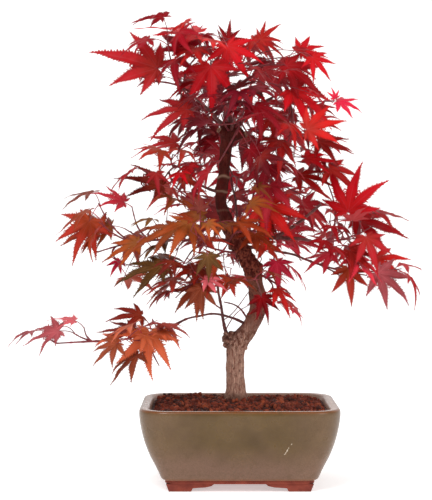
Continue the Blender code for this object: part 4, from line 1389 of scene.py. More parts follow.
def flecks(graph: Graph, got: Sockets) -> Sockets:
    """Scattered small spots: a share of the cells of a pattern each hold one, with a ragged edge.

    Args:
        graph: The group's graph.
        got: Its inputs.

    Returns:
        Its outputs.
    """
    ragged = graph.noise(got["Place"], graph.times(got["Scale"], 2.5), 2.0)
    cells = graph.add("ShaderNodeTexVoronoi", {"Vector": got["Place"], "Scale": got["Scale"]})
    away = graph.plus(cells.outputs["Distance"], graph.times(ragged, 0.35))
    spot = graph.span(away, got["Size"], graph.times(got["Size"], 0.7))
    kept = graph.sum("LESS_THAN", graph.part(cells.outputs["Color"], "X"), got["Share"])
    return {"Spots": graph.times(spot, kept)}


def grain(graph: Graph, got: Sockets) -> Sockets:
    """Streaks that run up and down: noise squeezed along the height.

    Args:
        graph: The group's graph.
        got: Its inputs.

    Returns:
        Its outputs.
    """
    squeeze = graph.add("ShaderNodeCombineXYZ", {0: 1.0, 1: 1.0, 2: got["Squeeze"]}).outputs[0]
    place = graph.vector("MULTIPLY", got["Place"], squeeze)
    return {"Streaks": graph.span(graph.noise(place, got["Scale"], 5.0, 0.65), 0.3, 0.7)}


def band(graph: Graph, got: Sockets) -> Sockets:
    """A mask that goes from 0 to 1 between two heights, with a wandering edge.

    Args:
        graph: The group's graph.
        got: Its inputs.

    Returns:
        Its outputs.
    """
    stray = graph.less(graph.noise(got["Place"], got["Scale"], 3.0), 0.5)
    height = graph.plus(graph.part(got["Place"], "Z"), graph.times(stray, got["Stray"]))
    return {"Mask": graph.span(height, got["Low"], got["High"])}


def leaf_marks(graph: Graph, got: Sockets) -> Sockets:
    """Where a leaf's midribs and side veins, heart and margin are, from its own coordinates.

    Args:
        graph: The group's graph.
        got: Its inputs.

    Returns:
        Its outputs.
    """
    across, along = graph.part(got["Marks"], "X"), graph.part(got["Marks"], "Y")
    width = graph.span(along, 0.0, 1.0, 0.011, 0.004)
    rib = graph.span(across, width, graph.times(width, 0.35))
    slant = graph.less(along, graph.times(across, 1.1))
    wave = graph.sum("PINGPONG", graph.times(slant, 13.0), 0.5)
    side = graph.times(graph.span(wave, 0.07, 0.02), graph.span(across, 0.14, 0.02))
    veins = graph.sum("MAXIMUM", rib, graph.times(side, 0.5))
    margin = graph.span(graph.part(got["Tone"], "X"), 0.62, 1.0)
    return {"Veins": veins, "Heart": graph.span(along, 0.5, 0.06), "Margin": margin}


def effect_group(lay: Callable[[Graph, Sockets], Sockets], feeds: dict[str, Any]) -> bpy.types.NodeTree:
    """The node group of an effect that several finishes share, made the first time.

    Args:
        lay: Lays the effect's nodes out and returns its outputs, each a value.
        feeds: What its inputs are to take, which tells their kinds.

    Returns:
        The node group, named as the effect.
    """
    name = lay.__name__
    if name in bpy.data.node_groups:
        return bpy.data.node_groups[name]
    tree = bpy.data.node_groups.new(name, "ShaderNodeTree")
    for label, value in feeds.items():
        kind = "NodeSocketVector" if isinstance(value, bpy.types.NodeSocket) else "NodeSocketFloat"
        tree.interface.new_socket(label, in_out="INPUT", socket_type=kind)
    start = tree.nodes.new("NodeGroupInput")
    made = lay(Graph(tree), {label: start.outputs[label] for label in feeds})
    for label in made:
        tree.interface.new_socket(label, in_out="OUTPUT", socket_type="NodeSocketFloat")
    end = tree.nodes.new("NodeGroupOutput")
    for label, value in made.items():
        tree.links.new(value, end.inputs[label])
    return tree


class Surface(Graph):
    """A material's graph, with its shader, the place on the surface and the shared effects at hand."""

    def __init__(self, name: str) -> None:
        """Makes a material with nothing but its shader.

        Args:
            name: The material's name.
        """
        self.material = bpy.data.materials.new(name)
        self.material.use_nodes = True
        super().__init__(self.material.node_tree)
        self.shader = self.tree.nodes["Principled BSDF"]
        self.place = self.add("ShaderNodeTexCoord").outputs["Object"]

    def use(
        self, lay: Callable[[Graph, Sockets], Sockets], place: Socket | None = None, **feeds: Any
    ) -> bpy.types.NodeOutputs:
        """Adds a shared effect.

        Args:
            lay: The effect.
            place: Where it is looked up, if not at the surface's own place.
            **feeds: What its other inputs take.

        Returns:
            The effect's outputs.
        """
        feeds = {"Place": place or self.place, **feeds}
        node = self.add("ShaderNodeGroup", node_tree=effect_group(lay, feeds))
        for name, value in feeds.items():
            self.feed(node.inputs[name], value)
        return node.outputs

    def patches(self, scale: float, softness: float, place: Socket | None = None) -> Socket:
        """Cloudy patches, here or at another place."""
        return self.use(mottle, place, Scale=scale, Softness=softness)["Patches"]

    def streaks(self, scale: float, squeeze: float) -> Socket:
        """Streaks that run up and down."""
        return self.use(grain, Scale=scale, Squeeze=squeeze)["Streaks"]

    def spots(self, scale: float, size: float, share: float, place: Socket | None = None) -> Socket:
        """Scattered spots, here or at another place."""
        return self.use(flecks, place, Scale=scale, Size=size, Share=share)["Spots"]

    def band(self, low: float, high: float, stray: float, scale: float) -> Socket:
        """A mask that goes from 0 to 1 between two heights."""
        return self.use(band, Low=low, High=high, Stray=stray, Scale=scale)["Mask"]

    def marks(self, layer: str) -> Socket:
        """The values that the mesh carries in one of its layers."""
        return self.add("ShaderNodeUVMap", uv_map=layer).outputs[0]

    def bump(self, height: Any, depth: float, strength: float = 1.0) -> Socket:
        """A bumped normal, its depth in metres."""
        feeds = {"Height": height, "Distance": depth, "Strength": strength}
        return self.add("ShaderNodeBump", feeds).outputs[0]

    def done(self, colour: Any, rough: Any, **sockets: Any) -> Material:
        """Feeds the shader.

        Args:
            colour: Its base colour.
            rough: Its roughness.
            **sockets: Its other sockets, with _ for each space in their names.

        Returns:
            The finished material.
        """
        self.feed(self.shader.inputs["Base Color"], colour)
        self.feed(self.shader.inputs["Roughness"], rough)
        for name, value in sockets.items():
            self.feed(self.shader.inputs[name.replace("_", " ")], value)
        return self.material


class Side(Enum):
    """The two faces of a leaf."""

    TOP = "top"
    UNDER = "under"


@dataclass(frozen=True)
class LeafFinish:
    """One face of a leaf in one autumn tint, with its heart, veins and darker margin."""

    tint: Tint
    side: Side = Side.TOP
    rough: tuple[float, float] = (0.5, 0.6)  # above and below
    dark: float = 0.54  # the darkest leaf's share of the tint
    bright: tuple[float, float] = (1.24, 2.0)  # the brightest leaf's, and what is added to it
    pale: float = 0.18  # how far the veins go towards white
    clouds: tuple[float, float] = (130.0, 0.22)
    under: tuple[Tint, float] = (Tint.BLUSH, 0.3)  # the underside's own tint and how far it shows
    deep: tuple[Tint, ...] = (Tint.MAROON, Tint.WINE, Tint.CHERRY)  # tints that stay deep below
    deep_share: float = 0.35

    def make(self) -> Material:
        """The material of this tint and side.

        Returns:
            The finished material.
        """
        leaf = Surface(f"leaf_{self.tint.name.lower()}_{self.side.value}")
        tone = leaf.marks("tone")
        marks = leaf.use(leaf_marks, Marks=leaf.marks("marks"), Tone=tone)
        own = leaf.part(tone, "Y")
        gain, lift = self.bright
        dark = linear([c * self.dark for c in self.tint.value])
        bright = linear([min(255.0, c * gain + lift) for c in self.tint.value])
        pale = linear([c + (255 - c) * self.pale for c in self.tint.value])
        colour = leaf.blend(own, dark, bright)
        colour = leaf.blend(leaf.patches(*self.clouds), colour, self.tint.value, 0.35)
        share = leaf.times(marks["Heart"], leaf.span(own, 0.0, 1.0, 0.25, 0.75))
        colour = leaf.blend(share, colour, HEARTS.get(self.tint, self.tint).value)
        colour = leaf.blend(marks["Margin"], colour, dark, 0.35)
        colour = leaf.blend(marks["Veins"], colour, pale, 0.3)
        if self.side is Side.UNDER:
            share = self.under[1] * (self.deep_share if self.tint in self.deep else 1.0)
            colour = leaf.blend(share, colour, self.under[0].value)
        ridges = leaf.less(leaf.noise(leaf.place, 500.0, 2.0), marks["Veins"])
        rough = self.rough[0 if self.side is Side.TOP else 1]
        return leaf.done(colour, rough, Specular_IOR_Level=0.12, Normal=leaf.bump(ridges, 0.00015, 0.6))


@dataclass(frozen=True)
class StalkFinish:
    """The thin red stalk of a leaf, mottled dark and light."""

    colour: Colour = (172, 34, 48)
    dark: Colour = (104, 26, 34)
    clouds: tuple[float, float] = (60.0, 0.15)

    def make(self) -> Material:
        """The stalks' material."""
        stalk = Surface("stalk_red")
        return stalk.done(stalk.blend(stalk.patches(*self.clouds), self.dark, self.colour), 0.4)


@dataclass(frozen=True)
class TwigFinish:
    """Bark of young limbs: smooth maroon brown with pale flecks and lengthways streaks."""

    name: str = "bough_bark"
    dark: Colour = (66, 26, 28)
    light: Colour = (120, 60, 56)
    fleck: Colour = (158, 118, 98)
    flecks: float = 0.18  # share of the bark's cells that hold a fleck
    clouds: tuple[float, float] = (90.0, 0.2)
    grain: tuple[float, float] = (1400.0, 0.3)
    fleck_scale: float = 520.0
    fleck_size: float = 0.52

    def make(self) -> Material:
        """The limbs' material.

        Returns:
            The finished material.
        """
        twig = Surface(self.name)
        patches, streaks = twig.patches(*self.clouds), twig.streaks(*self.grain)
        spots = twig.spots(self.fleck_scale, self.fleck_size, self.flecks)
        colour = twig.blend(twig.plus(patches, streaks), self.dark, self.light, 0.5)
        colour = twig.blend(spots, colour, self.fleck, 0.7)
        height = twig.plus(twig.times(streaks, 0.6), spots)
        return twig.done(colour, 0.55, Normal=twig.bump(height, 0.0003))


@dataclass(frozen=True)
class BarkFinish:
    """Old bark: pinkish tan with fine streaks below, flecked, then dark and rough, then maroon brown."""

    tan: Colour = (158, 104, 86)
    tan_light: Colour = (240, 196, 172)
    tan_dark: Colour = (108, 62, 50)
    grey: Colour = (128, 80, 70)
    dark: Colour = (62, 28, 23)
    dark_light: Colour = (128, 78, 66)
    burr: Colour = (86, 32, 26)
    burr_light: Colour = (160, 84, 66)
    maroon: Colour = (90, 23, 20)
    # Colour of the rings: partly the scars' own pale bark, partly painted sheen on their ridges
    pale: Colour = (168, 134, 112)
    # Darker towards the soil: partly a damp stain, partly painted shade where the trunk meets the soil
    foot: Colour = (84, 54, 44)
    tall: Place = (1.0, 1.0, 0.6)  # marks are longer up and down than across
    wander: Place = (0.006, 0.006, 0.006)
    wander_scale: float = 420.0
    # Patterns: scale and squeeze or softness, and scale, size and share of the spots
    grain: tuple[float, float] = (700.0, 0.1)
    fine_grain: tuple[float, float] = (1700.0, 0.22)
    clouds: tuple[float, float] = (130.0, 0.1)
    lumps: tuple[float, float] = (330.0, 0.08)
    blots: Place = (140.0, 0.44, 0.36)
    spots: Place = (330.0, 0.5, 0.3)
    specks: Place = (620.0, 0.5, 0.24)
    # Heights between which one bark turns into the next, how far that strays, and its scale
    foot_band: tuple[float, ...] = (0.094, 0.081, 0.014, 90.0)
    zones: tuple[tuple[float, float], ...] = ((0.138, 0.168), (0.196, 0.214), (0.25, 0.268))
    zone_edge: tuple[float, float] = (0.022, 70.0)
    knob_bands: tuple[tuple[float, float], ...] = ((0.128, 0.136), (0.158, 0.15))
    knob_edge: tuple[float, float] = (0.008, 120.0)

    def make(self) -> Material:
        """The trunk's material.

        Returns:
            The finished material.
        """
        bark = Surface("bark")
        tall = bark.vector("MULTIPLY", bark.place, self.tall)
        feeds = {"Vector": bark.place, "Scale": self.wander_scale, "Detail": 3.0}
        stray = bark.add("ShaderNodeTexNoise", feeds).outputs["Color"]
        warped = bark.vector("ADD", tall, bark.vector("MULTIPLY", stray, self.wander))
        streaks, fine = bark.streaks(*self.grain), bark.streaks(*self.fine_grain)
        patches, rough = bark.patches(*self.clouds, tall), bark.patches(*self.lumps, tall)
        low = bark.blend(streaks, self.tan, self.tan_light)
        low = bark.blend(fine, low, self.tan_dark, 0.5)
        # Darker at the foot: partly a damp stain, partly painted shade where the trunk meets the soil
        colour = bark.blend(bark.band(*self.foot_band), low, self.foot, 0.8)
        middle = bark.blend(patches, self.grey, self.tan)
        middle = bark.blend(fine, middle, self.tan_dark, 0.5)
        middle = bark.blend(rough, middle, self.dark_light, 0.35)
        burr = bark.blend(rough, self.burr, self.burr_light)
        burr = bark.blend(patches, burr, self.burr, 0.4)
        top = bark.blend(streaks, self.maroon, self.dark_light, 0.3)
        top = bark.blend(patches, top, self.dark, 0.5)
        for zone, above in zip(self.zones, (middle, burr, top)):
            colour = bark.blend(bark.band(*zone, *self.zone_edge), colour, above)
        knob, over = (bark.band(*edges, *self.knob_edge) for edges in self.knob_bands)
        knob = bark.times(knob, bark.times(over, bark.span(rough, 0.2, 0.9, 0.0, 0.75)))
        colour = bark.blend(knob, colour, self.tan_dark)
        height = bark.part(bark.place, "Z")
        blots = bark.times(bark.spots(*self.blots, warped), bark.span(height, 0.1, 0.15, 0.1, 0.9))
        spots = bark.times(bark.spots(*self.spots, warped), bark.span(height, 0.09, 0.14, 0.5, 0.9))
        specks = bark.times(bark.spots(*self.specks, warped), bark.span(height, 0.09, 0.14, 0.2, 0.6))
        marks = bark.sum("MAXIMUM", spots, specks)
        for mask in (blots, marks):
            colour = bark.blend(mask, colour, self.dark)
        # The rings' paleness: partly their own colour, partly painted sheen
        colour = bark.blend(bark.part(bark.marks("tone"), "X"), colour, self.pale)
        relief = bark.plus(bark.times(streaks, 0.6), bark.times(rough, 0.6))
        relief = bark.less(relief, bark.times(bark.plus(blots, marks), 0.5))
        relief = bark.plus(relief, bark.times(fine, 0.3))
        return bark.done(colour, 0.8, Specular_IOR_Level=0.15, Normal=bark.bump(relief, 0.0014))


@dataclass(frozen=True)
class SawnFinish:
    """Old sawn wood: pale, with cloudy patches gone grey brown."""

    light: Colour = (150, 112, 90)
    dark: Colour = (92, 54, 44)
    clouds: tuple[float, float] = (420.0, 0.16)

    def make(self) -> Material:
        """The sawn ends' material.

        Returns:
            The finished material.
        """
        sawn = Surface("sawn_wood")
        patches = sawn.patches(*self.clouds)
        return sawn.done(sawn.blend(patches, self.dark, self.light), 0.85, Normal=sawn.bump(patches, 0.0003))


@dataclass(frozen=True)
class GlazeFinish:
    """Stoneware glaze: olive above, with a painted pinkish reflection of the floor below, a painted highlight
    on the rim's flat, and thin and brown on its edges.
    """

    olive: Colour = (97, 75, 39)
    olive_dark: Colour = (76, 56, 26)
    taupe: Colour = (114, 85, 69)
    # Painted reflection of the white floor, where the lower wall faces down towards it
    thin: Colour = (128, 100, 80)
    # Painted highlight on the rim's flat, where light glances off it
    lip: Colour = (168, 136, 120)
    edge: Colour = (128, 72, 32)
    speck: Colour = (84, 64, 44)
    scratch: Colour = (206, 190, 168)
    scratch_at: Place = (0.0455, 0.0435, 0.006)  # x, z and half height
    scratch_lean: float = 0.62
    scratch_edge: tuple[float, float] = (0.0007, 0.0003)
    clouds: tuple[float, float] = (26.0, 0.25)
    # Where the painted floor reflection lies
    taupe_band: tuple[float, ...] = (0.052, 0.022, 0.03, 16.0)  # heights, stray and scale
    ends: tuple[float, float] = (0.035, 0.09)  # how far along the pot its ends turn thin
    specks: Place = (210.0, 0.3, 0.1)
    wave: float = 0.0006  # depth of the glaze's slow waves

    def scratched(self, glaze: Surface) -> Socket:
        """Where a pale broken scratch crosses the front.

        Args:
            glaze: The glaze's graph.

        Returns:
            A mask of 0 to 1.
        """
        x, z, half = self.scratch_at
        place = glaze.place
        across = glaze.less(glaze.part(place, "X"), ORIGIN.x + x)
        rise = glaze.less(glaze.part(place, "Z"), z)
        lean = glaze.less(across, glaze.times(rise, self.scratch_lean))
        wander = glaze.times(glaze.less(glaze.noise(place, 260.0), 0.5), 0.004)
        line = glaze.span(glaze.sum("ABSOLUTE", glaze.plus(lean, wander)), *self.scratch_edge)
        reach = glaze.span(glaze.sum("ABSOLUTE", rise), half, half * 0.8)
        broken = glaze.span(glaze.noise(place, 480.0, 2.0), 0.44, 0.5)
        front = glaze.sum("LESS_THAN", glaze.part(place, "Y"), ORIGIN.y)
        return glaze.times(glaze.times(glaze.times(line, reach), glaze.times(broken, front)), 0.85)

    def make(self) -> Material:
        """The bowl's material.

        Returns:
            The finished material.
        """
        glaze = Surface("glaze")
        place = glaze.place
        patches = glaze.patches(*self.clouds)
        colour = glaze.blend(patches, self.olive_dark, self.olive)
        # Painted reflection of the floor on the lower wall
        colour = glaze.blend(glaze.band(*self.taupe_band), colour, self.taupe)
        ends = glaze.sum("ABSOLUTE", glaze.less(glaze.part(place, "X"), ORIGIN.x))
        colour = glaze.blend(glaze.span(ends, *self.ends), colour, self.thin, 0.38)
        tone = glaze.marks("tone")
        # Painted highlight on the rim's flat
        colour = glaze.blend(glaze.part(tone, "Y"), colour, self.lip)
        ragged = glaze.span(glaze.noise(place, 140.0, 3.0), 0.25, 0.6, 0.55, 1.0)
        colour = glaze.blend(glaze.times(glaze.part(tone, "X"), ragged), colour, self.edge)
        colour = glaze.blend(glaze.spots(*self.specks), colour, self.speck, 0.6)
        # Grit, drift and clouds: noise's scale, detail and roughness, its span, its most, its colour
        for noisy, low, high, most, over in (
            ((900.0, 2.0), 0.35, 0.7, 0.5, self.speck),
            ((55.0, 4.0), 0.4, 0.7, 0.1, self.thin),
            ((120.0, 5.0, 0.7), 0.5, 0.75, 0.4, self.olive_dark),
        ):
            colour = glaze.blend(glaze.span(glaze.noise(place, *noisy), low, high, 0.0, most), colour, over)
        colour = glaze.blend(self.scratched(glaze), colour, self.scratch)
        return glaze.done(
            colour,
            glaze.span(patches, 0.0, 1.0, 0.34, 0.26),
            Specular_IOR_Level=0.32,
            Coat_Weight=0.08,
            Coat_Roughness=0.12,
            Normal=glaze.bump(glaze.noise(place, 70.0, 4.0), self.wave, 0.5),
        )


@dataclass(frozen=True)
class ClayFinish:
    """Bare fired clay: brick pink, sandy, darker where it was handled."""

    light: Colour = (140, 64, 47)
    dark: Colour = (108, 43, 32)
    clouds: tuple[float, float] = (70.0, 0.25)
    specks: Place = (500.0, 0.4, 0.14)
    sand: float = 1300.0

    def make(self) -> Material:
        """The feet's and band's material.

        Returns:
            The finished material.
        """
        clay = Surface("bare_clay")
        colour = clay.blend(clay.patches(*self.clouds), self.dark, self.light)
        colour = clay.blend(clay.spots(*self.specks), colour, self.dark, 0.35)
        return clay.done(colour, 0.88, Normal=clay.bump(clay.noise(clay.place, self.sand), 0.0003))


@dataclass(frozen=True)
class SoilFinish:
    """Baked red clay grains, some nearly black."""

    name: str
    dark: Colour
    light: Colour
    clouds: tuple[float, float] = (260.0, 0.2)
    crumb: float = 1500.0

    def make(self) -> Material:
        """The grains' material.

        Returns:
            The finished material.
        """
        soil = Surface(self.name)
        colour = soil.blend(soil.patches(*self.clouds), self.dark, self.light)
        return soil.done(colour, 0.95, Normal=soil.bump(soil.noise(soil.place, self.crumb, 4.0), 0.0005))


# Meshes: gathered pieces, and the form of a leaf


def new_object(name: str, data: bpy.types.ID) -> bpy.types.Object:
    """An object of this data, linked to the scene.

    Args:
        name: Its name.
        data: Its data.

    Returns:
        The object.
    """
    thing = bpy.data.objects.new(name, data)
    bpy.context.scene.collection.objects.link(thing)
    return thing


def dress_node(piece: bpy.types.Object, nodes: Sequence[str]) -> None:
    """Makes a piece stand for nodes of the frame: joins it to the body and hides the nodes.

    Args:
        piece: The piece.
        nodes: The nodes, if it stands for any.
    """
    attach(piece, BODY)
    if nodes:
        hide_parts(*nodes)


class Pile:
    """Meshes gathered into one piece, each with its material, its marks and its tone."""

    def __init__(self) -> None:
        """Starts empty."""
        self.count = 0
        self.verts: list[np.ndarray] = []
        self.tris: list[np.ndarray] = []
        self.picks: list[np.ndarray] = []
        self.marks: list[np.ndarray] = []
        self.tones: list[np.ndarray] = []

    def add(
        self,
        verts: np.ndarray,
        tris: np.ndarray,
        picks: int | np.ndarray = 0,
        marks: np.ndarray | None = None,
        tones: np.ndarray | None = None,
    ) -> None:
        """Adds a mesh of triangles.

        Args:
            verts: Its places in millimetres.
            tris: Three places for each triangle.
            picks: Which material its triangles have, or each of them has.
            marks: Two values for each place, for patterns that follow the form.
            tones: Two more, for a rim or ring, and a shade of its own.
        """
        self.verts.append(verts)
        self.tris.append(tris + self.count)
        self.picks.append(np.broadcast_to(picks, (len(tris),)))
        self.marks.append(np.zeros((len(verts), 2)) if marks is None else marks)
        self.tones.append(np.zeros((len(verts), 2)) if tones is None else tones)
        self.count += len(verts)

    def add_faces(self, mesh: Mesh, pick: int = 0, tones: np.ndarray | None = None) -> None:
        """Adds a mesh of any convex faces, each cut into a fan.

        Args:
            mesh: Its vertices and faces.
            pick: Which material it has.
            tones: Two values for each vertex.
        """
        verts, faces = mesh
        tris = [(face[0], face[i], face[i + 1]) for face in faces for i in range(1, len(face) - 1)]
        self.add(np.array([v[:] for v in verts]), np.array(tris), pick, tones=tones)

    def to_piece(
        self,
        name: str,
        materials: Sequence[Material],
        nodes: Sequence[str],
        sharp: float = 50.0,
    ) -> None:
        """Makes a piece of all that was gathered.

        Args:
            name: Its name.
            materials: Its materials, in the order of the picks.
            nodes: The nodes of the frame that it stands for.
            sharp: Edges that turn by more degrees than this aren't smoothed.
        """
        data = bpy.data.meshes.new(name)
        verts = np.concatenate(self.verts) * METRES + np.array(ORIGIN)
        tris = np.concatenate(self.tris)
        data.vertices.add(len(verts))
        data.vertices.foreach_set("co", verts.ravel())
        data.loops.add(tris.size)
        data.loops.foreach_set("vertex_index", tris.ravel())
        data.polygons.add(len(tris))
        data.polygons.foreach_set("loop_start", np.arange(0, tris.size, 3))
        data.polygons.foreach_set("material_index", np.concatenate(self.picks))
        for label, rows in (("marks", self.marks), ("tone", self.tones)):
            layer = data.uv_layers.new(name=label)
            layer.data.foreach_set("uv", np.concatenate(rows)[tris.ravel()].ravel())
        data.update(calc_edges=True)
        data.shade_smooth()
        data.set_sharp_from_angle(angle=radians(sharp))
        for material in materials:
            data.materials.append(material)
        dress_node(new_object(name, data), nodes)
        LOG.info("%s: %d triangles", name, len(tris))


class Lobe(NamedTuple):
    """One finger of a leaf: its angle off the middle, length, half width and rows of faces."""

    angle: float
    length: float
    width: float
    rows: int


@dataclass
class LeafForm:
    """The pattern of a palmate leaf, cut once in units of its length and then bent for each leaf."""

    lobes: tuple[Lobe, ...] = (
        Lobe(0.0, 1.0, 0.104, 10),
        Lobe(38.0, 0.88, 0.1, 9),
        Lobe(79.0, 0.64, 0.078, 7),
        Lobe(116.0, 0.31, 0.038, 4),
    )
    bays: tuple[Pair, ...] = ((20.0, 0.23), (58.0, 0.21), (99.0, 0.14), (150.0, 0.05))  # angle, reach
    inner_rows: int = 3
    swell: Pair = (0.45, 0.19)  # share of its bay's width that a lobe still has, and its widening's peak
    powers: Place = (2.2, 0.95, 1.6)  # how a lobe narrows from its bay, widens and narrows again
    lean: float = 0.7  # how far a tooth leans forwards
    tooth: float = 0.05
    teeth: tuple[float, ...] = (0.0, 1.3, 0.0, 0.7, 0.0)  # how far each place of a row stands out
    thick: float = 0.16
    narrow: Pair = (-0.06, 0.26)
    taper: Pair = (0.0, 0.3)  # how much shorter than in the pattern the side lobes are
    knots: tuple[float, ...] = tuple(np.radians([-180, -114, -79, -38, 0, 38, 79, 114, 180]))
    sway: Pair = (0.0, 0.07)  # middle and spread of what is drawn for each lobe
    tilt: Pair = (0.02, 0.09)
    curl: Pair = (0.13, 0.1)
    stretch: Pair = (0.0, 0.05)
    fold: Pair = (0.05, 0.5)
    ripple: Place = (0.012, 17.0, 3.0)  # height, and turns along and across a lobe
    points: list[tuple[float, ...]] = field(default_factory=list)
    found: dict[Pair, int] = field(default_factory=dict)
    tris: list[tuple[int, int, int]] = field(default_factory=list)

    def __post_init__(self) -> None:
        """Cuts the pattern."""
        sides = [lobe._replace(angle=-lobe.angle) for lobe in self.lobes[:0:-1]]
        bays = [(-angle, reach) for angle, reach in reversed(self.bays)] + list(self.bays)
        for i, lobe in enumerate(sides + list(self.lobes)):
            self.cut_lobe(lobe, bays[i], bays[i + 1], i in (0, len(sides) * 2))
        places, tris = np.array(self.points), np.array(self.tris)
        a, b, c = (places[tris[:, k], :2] for k in range(3))
        area = (b[:, 0] - a[:, 0]) * (c[:, 1] - a[:, 1]) - (b[:, 1] - a[:, 1]) * (c[:, 0] - a[:, 0])
        tris[area < 0] = tris[area < 0][:, ::-1]
        tris = tris[np.abs(area) > 1e-9]
        self.x, self.y, self.rim, self.across, self.along = places.T
        self.inner = np.nonzero(self.rim < 1)[0]
        under = np.arange(len(places))
        under[self.inner] = len(places) + np.arange(len(self.inner))
        self.faces = np.concatenate([tris, under[tris][:, ::-1]])
        self.sides = np.repeat((0, 1), len(tris))

    def point(self, place: Vector, rim: float, across: float, along: float) -> int:
        """The index of a place in the pattern, which neighbouring lobes share.

        Args:
            place: The place.
            rim: How near it is to the margin, from 0 to 1.
            across: How far off its midrib it lies.
            along: How far along its midrib it lies.

        Returns:
            Its index.
        """
        key = (round(place.x, 5), round(place.y, 5))
        if key not in self.found:
            self.found[key] = len(self.points)
            self.points.append((place.x, place.y, rim, across, along))
        return self.found[key]

    def cut_lobe(self, lobe: Lobe, low: Pair, high: Pair, last: bool) -> None:
        """Cuts one lobe between the bays on its two sides.

        Args:
            lobe: The lobe.
            low: Angle and reach of the bay on its lower side.
            high: The same on its other side.
            last: Whether one of its sides is the leaf's own edge down to the stalk.
        """
        turn = radians(lobe.angle)
        ahead = Vector((sin(turn), cos(turn)))
        side = Vector((cos(turn), -sin(turn)))
        bays = []
        for angle, reach in (low, high):
            off = radians(angle) - turn
            bays.append((reach * cos(off), reach * sin(off)))
        middle = min(bay[0] for bay in bays)
        for along, away in bays:
            self.cut_half(lobe, ahead, side, middle, along, away, last and abs(along) < 0.06)

    def cut_half(
        self, lobe: Lobe, ahead: Vector, side: Vector, middle: float, along: float, away: float, edge: bool
    ) -> None:
        """Cuts the half of a lobe on one side of its midrib.

        Args:
            lobe: The lobe.
            ahead: Its direction.
            side: The direction across it.
            middle: How far along the midrib its free part begins.
            along: How far along its bay lies.
            away: How far off the midrib its bay lies, with its sign.
            edge: Whether this half ends at the leaf's own edge down to the stalk.
        """
        sign = copysign(1.0, away)
        gain = max(0.0, (lobe.width - self.swell[0] * abs(away)) / self.swell[1])
        narrow, widen, end = self.powers

        def margin(u: float, out: float) -> Vector:
            """The margin's place at a share of the free part, moved out by a tooth."""
            width = abs(away) * (1 - u) ** narrow + gain * u**widen * (1 - u) ** end + out
            return ahead * (mix(along, lobe.length, u) + out * self.lean) + side * sign * width

        def rim_point(place: Vector, rim: float = 1.0) -> int:
            """A place on the margin."""
            return self.point(place, rim, abs(place.dot(side)), place.dot(ahead))

        def half_way(mid: Vector, rim: Vector) -> int:
            """The place half way from the midrib to the margin."""
            place = (mid + rim) / 2
            return self.point(place, 0.5, abs((rim - mid).dot(side)) / 2, (mid + rim).dot(ahead) / 2)

        rows = []
        for i in range(self.inner_rows + 1):
            share = i / self.inner_rows
            mid, rim = ahead * middle * share, (ahead * along + side * away) * share
            rows.append((mid, rim, share * middle, 1.0 if edge or i == self.inner_rows else 0.0))
        for i, ((m0, r0, t0, e0), (m1, r1, t1, e1)) in enumerate(zip(rows, rows[1:])):
            a, b = self.point(m0, 0.0, 0.0, t0), self.point(m1, 0.0, 0.0, t1)
            d = rim_point(r1, e1)
            c1 = half_way(m1, r1)
            if i == 0:
                self.tris += [(a, b, c1), (a, c1, d)]
                continue
            c0 = half_way(m0, r0)
            self.tris += [(a, b, c1), (a, c1, c0), (c0, c1, d), (c0, d, rim_point(r0, e0))]
        for j in range(lobe.rows):
            u0, u1 = j / lobe.rows, (j + 1) / lobe.rows
            m0, m1 = (ahead * mix(middle, lobe.length, u) for u in (u0, u1))
            a = self.point(m0, 0.0, 0.0, m0.length)
            c0 = half_way(m0, margin(u0, 0.0))
            teeth = []
            for q, out in enumerate(self.teeth):
                u = mix(u0, u1, q / 4)
                teeth.append(rim_point(margin(u, out * self.tooth * (1 - u) ** 0.4 * min(1.0, u * 6))))
            if j == lobe.rows - 1:
                self.tris.append((a, teeth[-1], c0))
                self.tris += [(c0, teeth[k], teeth[k + 1]) for k in range(4)]
                continue
            b, c1 = self.point(m1, 0.0, 0.0, m1.length), half_way(m1, margin(u1, 0.0))
            self.tris += [(a, b, c1), (a, c1, c0)]
            self.tris += [(c0, teeth[0], teeth[1]), (c0, teeth[1], teeth[2]), (c0, teeth[2], c1)]
            self.tris += [(c1, teeth[2], teeth[3]), (c1, teeth[3], teeth[4])]

    def bend(self, leaf: Leaf, rng: Random, slender: float) -> np.ndarray:
        """The pattern's places for one leaf: its lobes swayed, tilted, curled and folded, then set in place.

        Args:
            leaf: The leaf.
            rng: Where its bends are drawn from.
            slender: How much narrower than usual its lobes are.

        Returns:
            The places of both sheets.
        """
        knots = np.array(self.knots)
        angle = np.arctan2(self.x, self.y)
        reach = np.hypot(self.x, self.y)

        def drawn(middle: float, spread: float) -> np.ndarray:
            """A value drawn for each lobe and eased between them."""
            values = [rng.gauss(middle, spread) for _ in range(7)]
            return np.interp(angle, knots, [values[0], *values, values[-1]])

        lobe = knots[1:-1][np.abs(angle[:, None] - knots[1:-1]).argmin(1)]
        narrow = rng.uniform(*self.narrow) + slender
        angle = angle + (lobe - angle) * narrow * np.clip(reach * 4 - 1, 0.0, 1.0)
        sway, tilt, curl, stretch = (drawn(*way) for way in (self.sway, self.tilt, self.curl, self.stretch))
        fold = rng.uniform(*self.fold)
        angle = angle + sway * reach**1.5
        reach = reach * (1 + stretch * np.clip(reach * 3 - 0.6, 0.0, 1.0))
        reach = reach * (1 - rng.uniform(*self.taper) * np.clip(np.abs(angle) / knots[6], 0.0, 1.0))
        wave = rng.uniform(0.0, tau)
        height, along, across = self.ripple
        lift = tilt * reach - curl * reach**3 - leaf.droop * reach**2
        lift += fold * self.across * np.clip(reach * 4, 0.0, 1.0)
        wave = np.sin(self.along * along + angle * across + wave)
        lift += height * wave * self.rim * np.clip(reach * 2, 0.0, 1.0)
        aim = leaf.aim.normalized()
        side = leaf.face.cross(aim).normalized()
        normal = aim.cross(side)
        flat = np.outer(reach * np.sin(angle), side) + np.outer(reach * np.cos(angle), aim)
        flat = (flat + np.outer(lift, normal)) * leaf.size + np.array(leaf.foot)
        half = np.outer((1 - self.rim) * self.thick, normal)
        return np.concatenate([flat + half, (flat - half)[self.inner]])

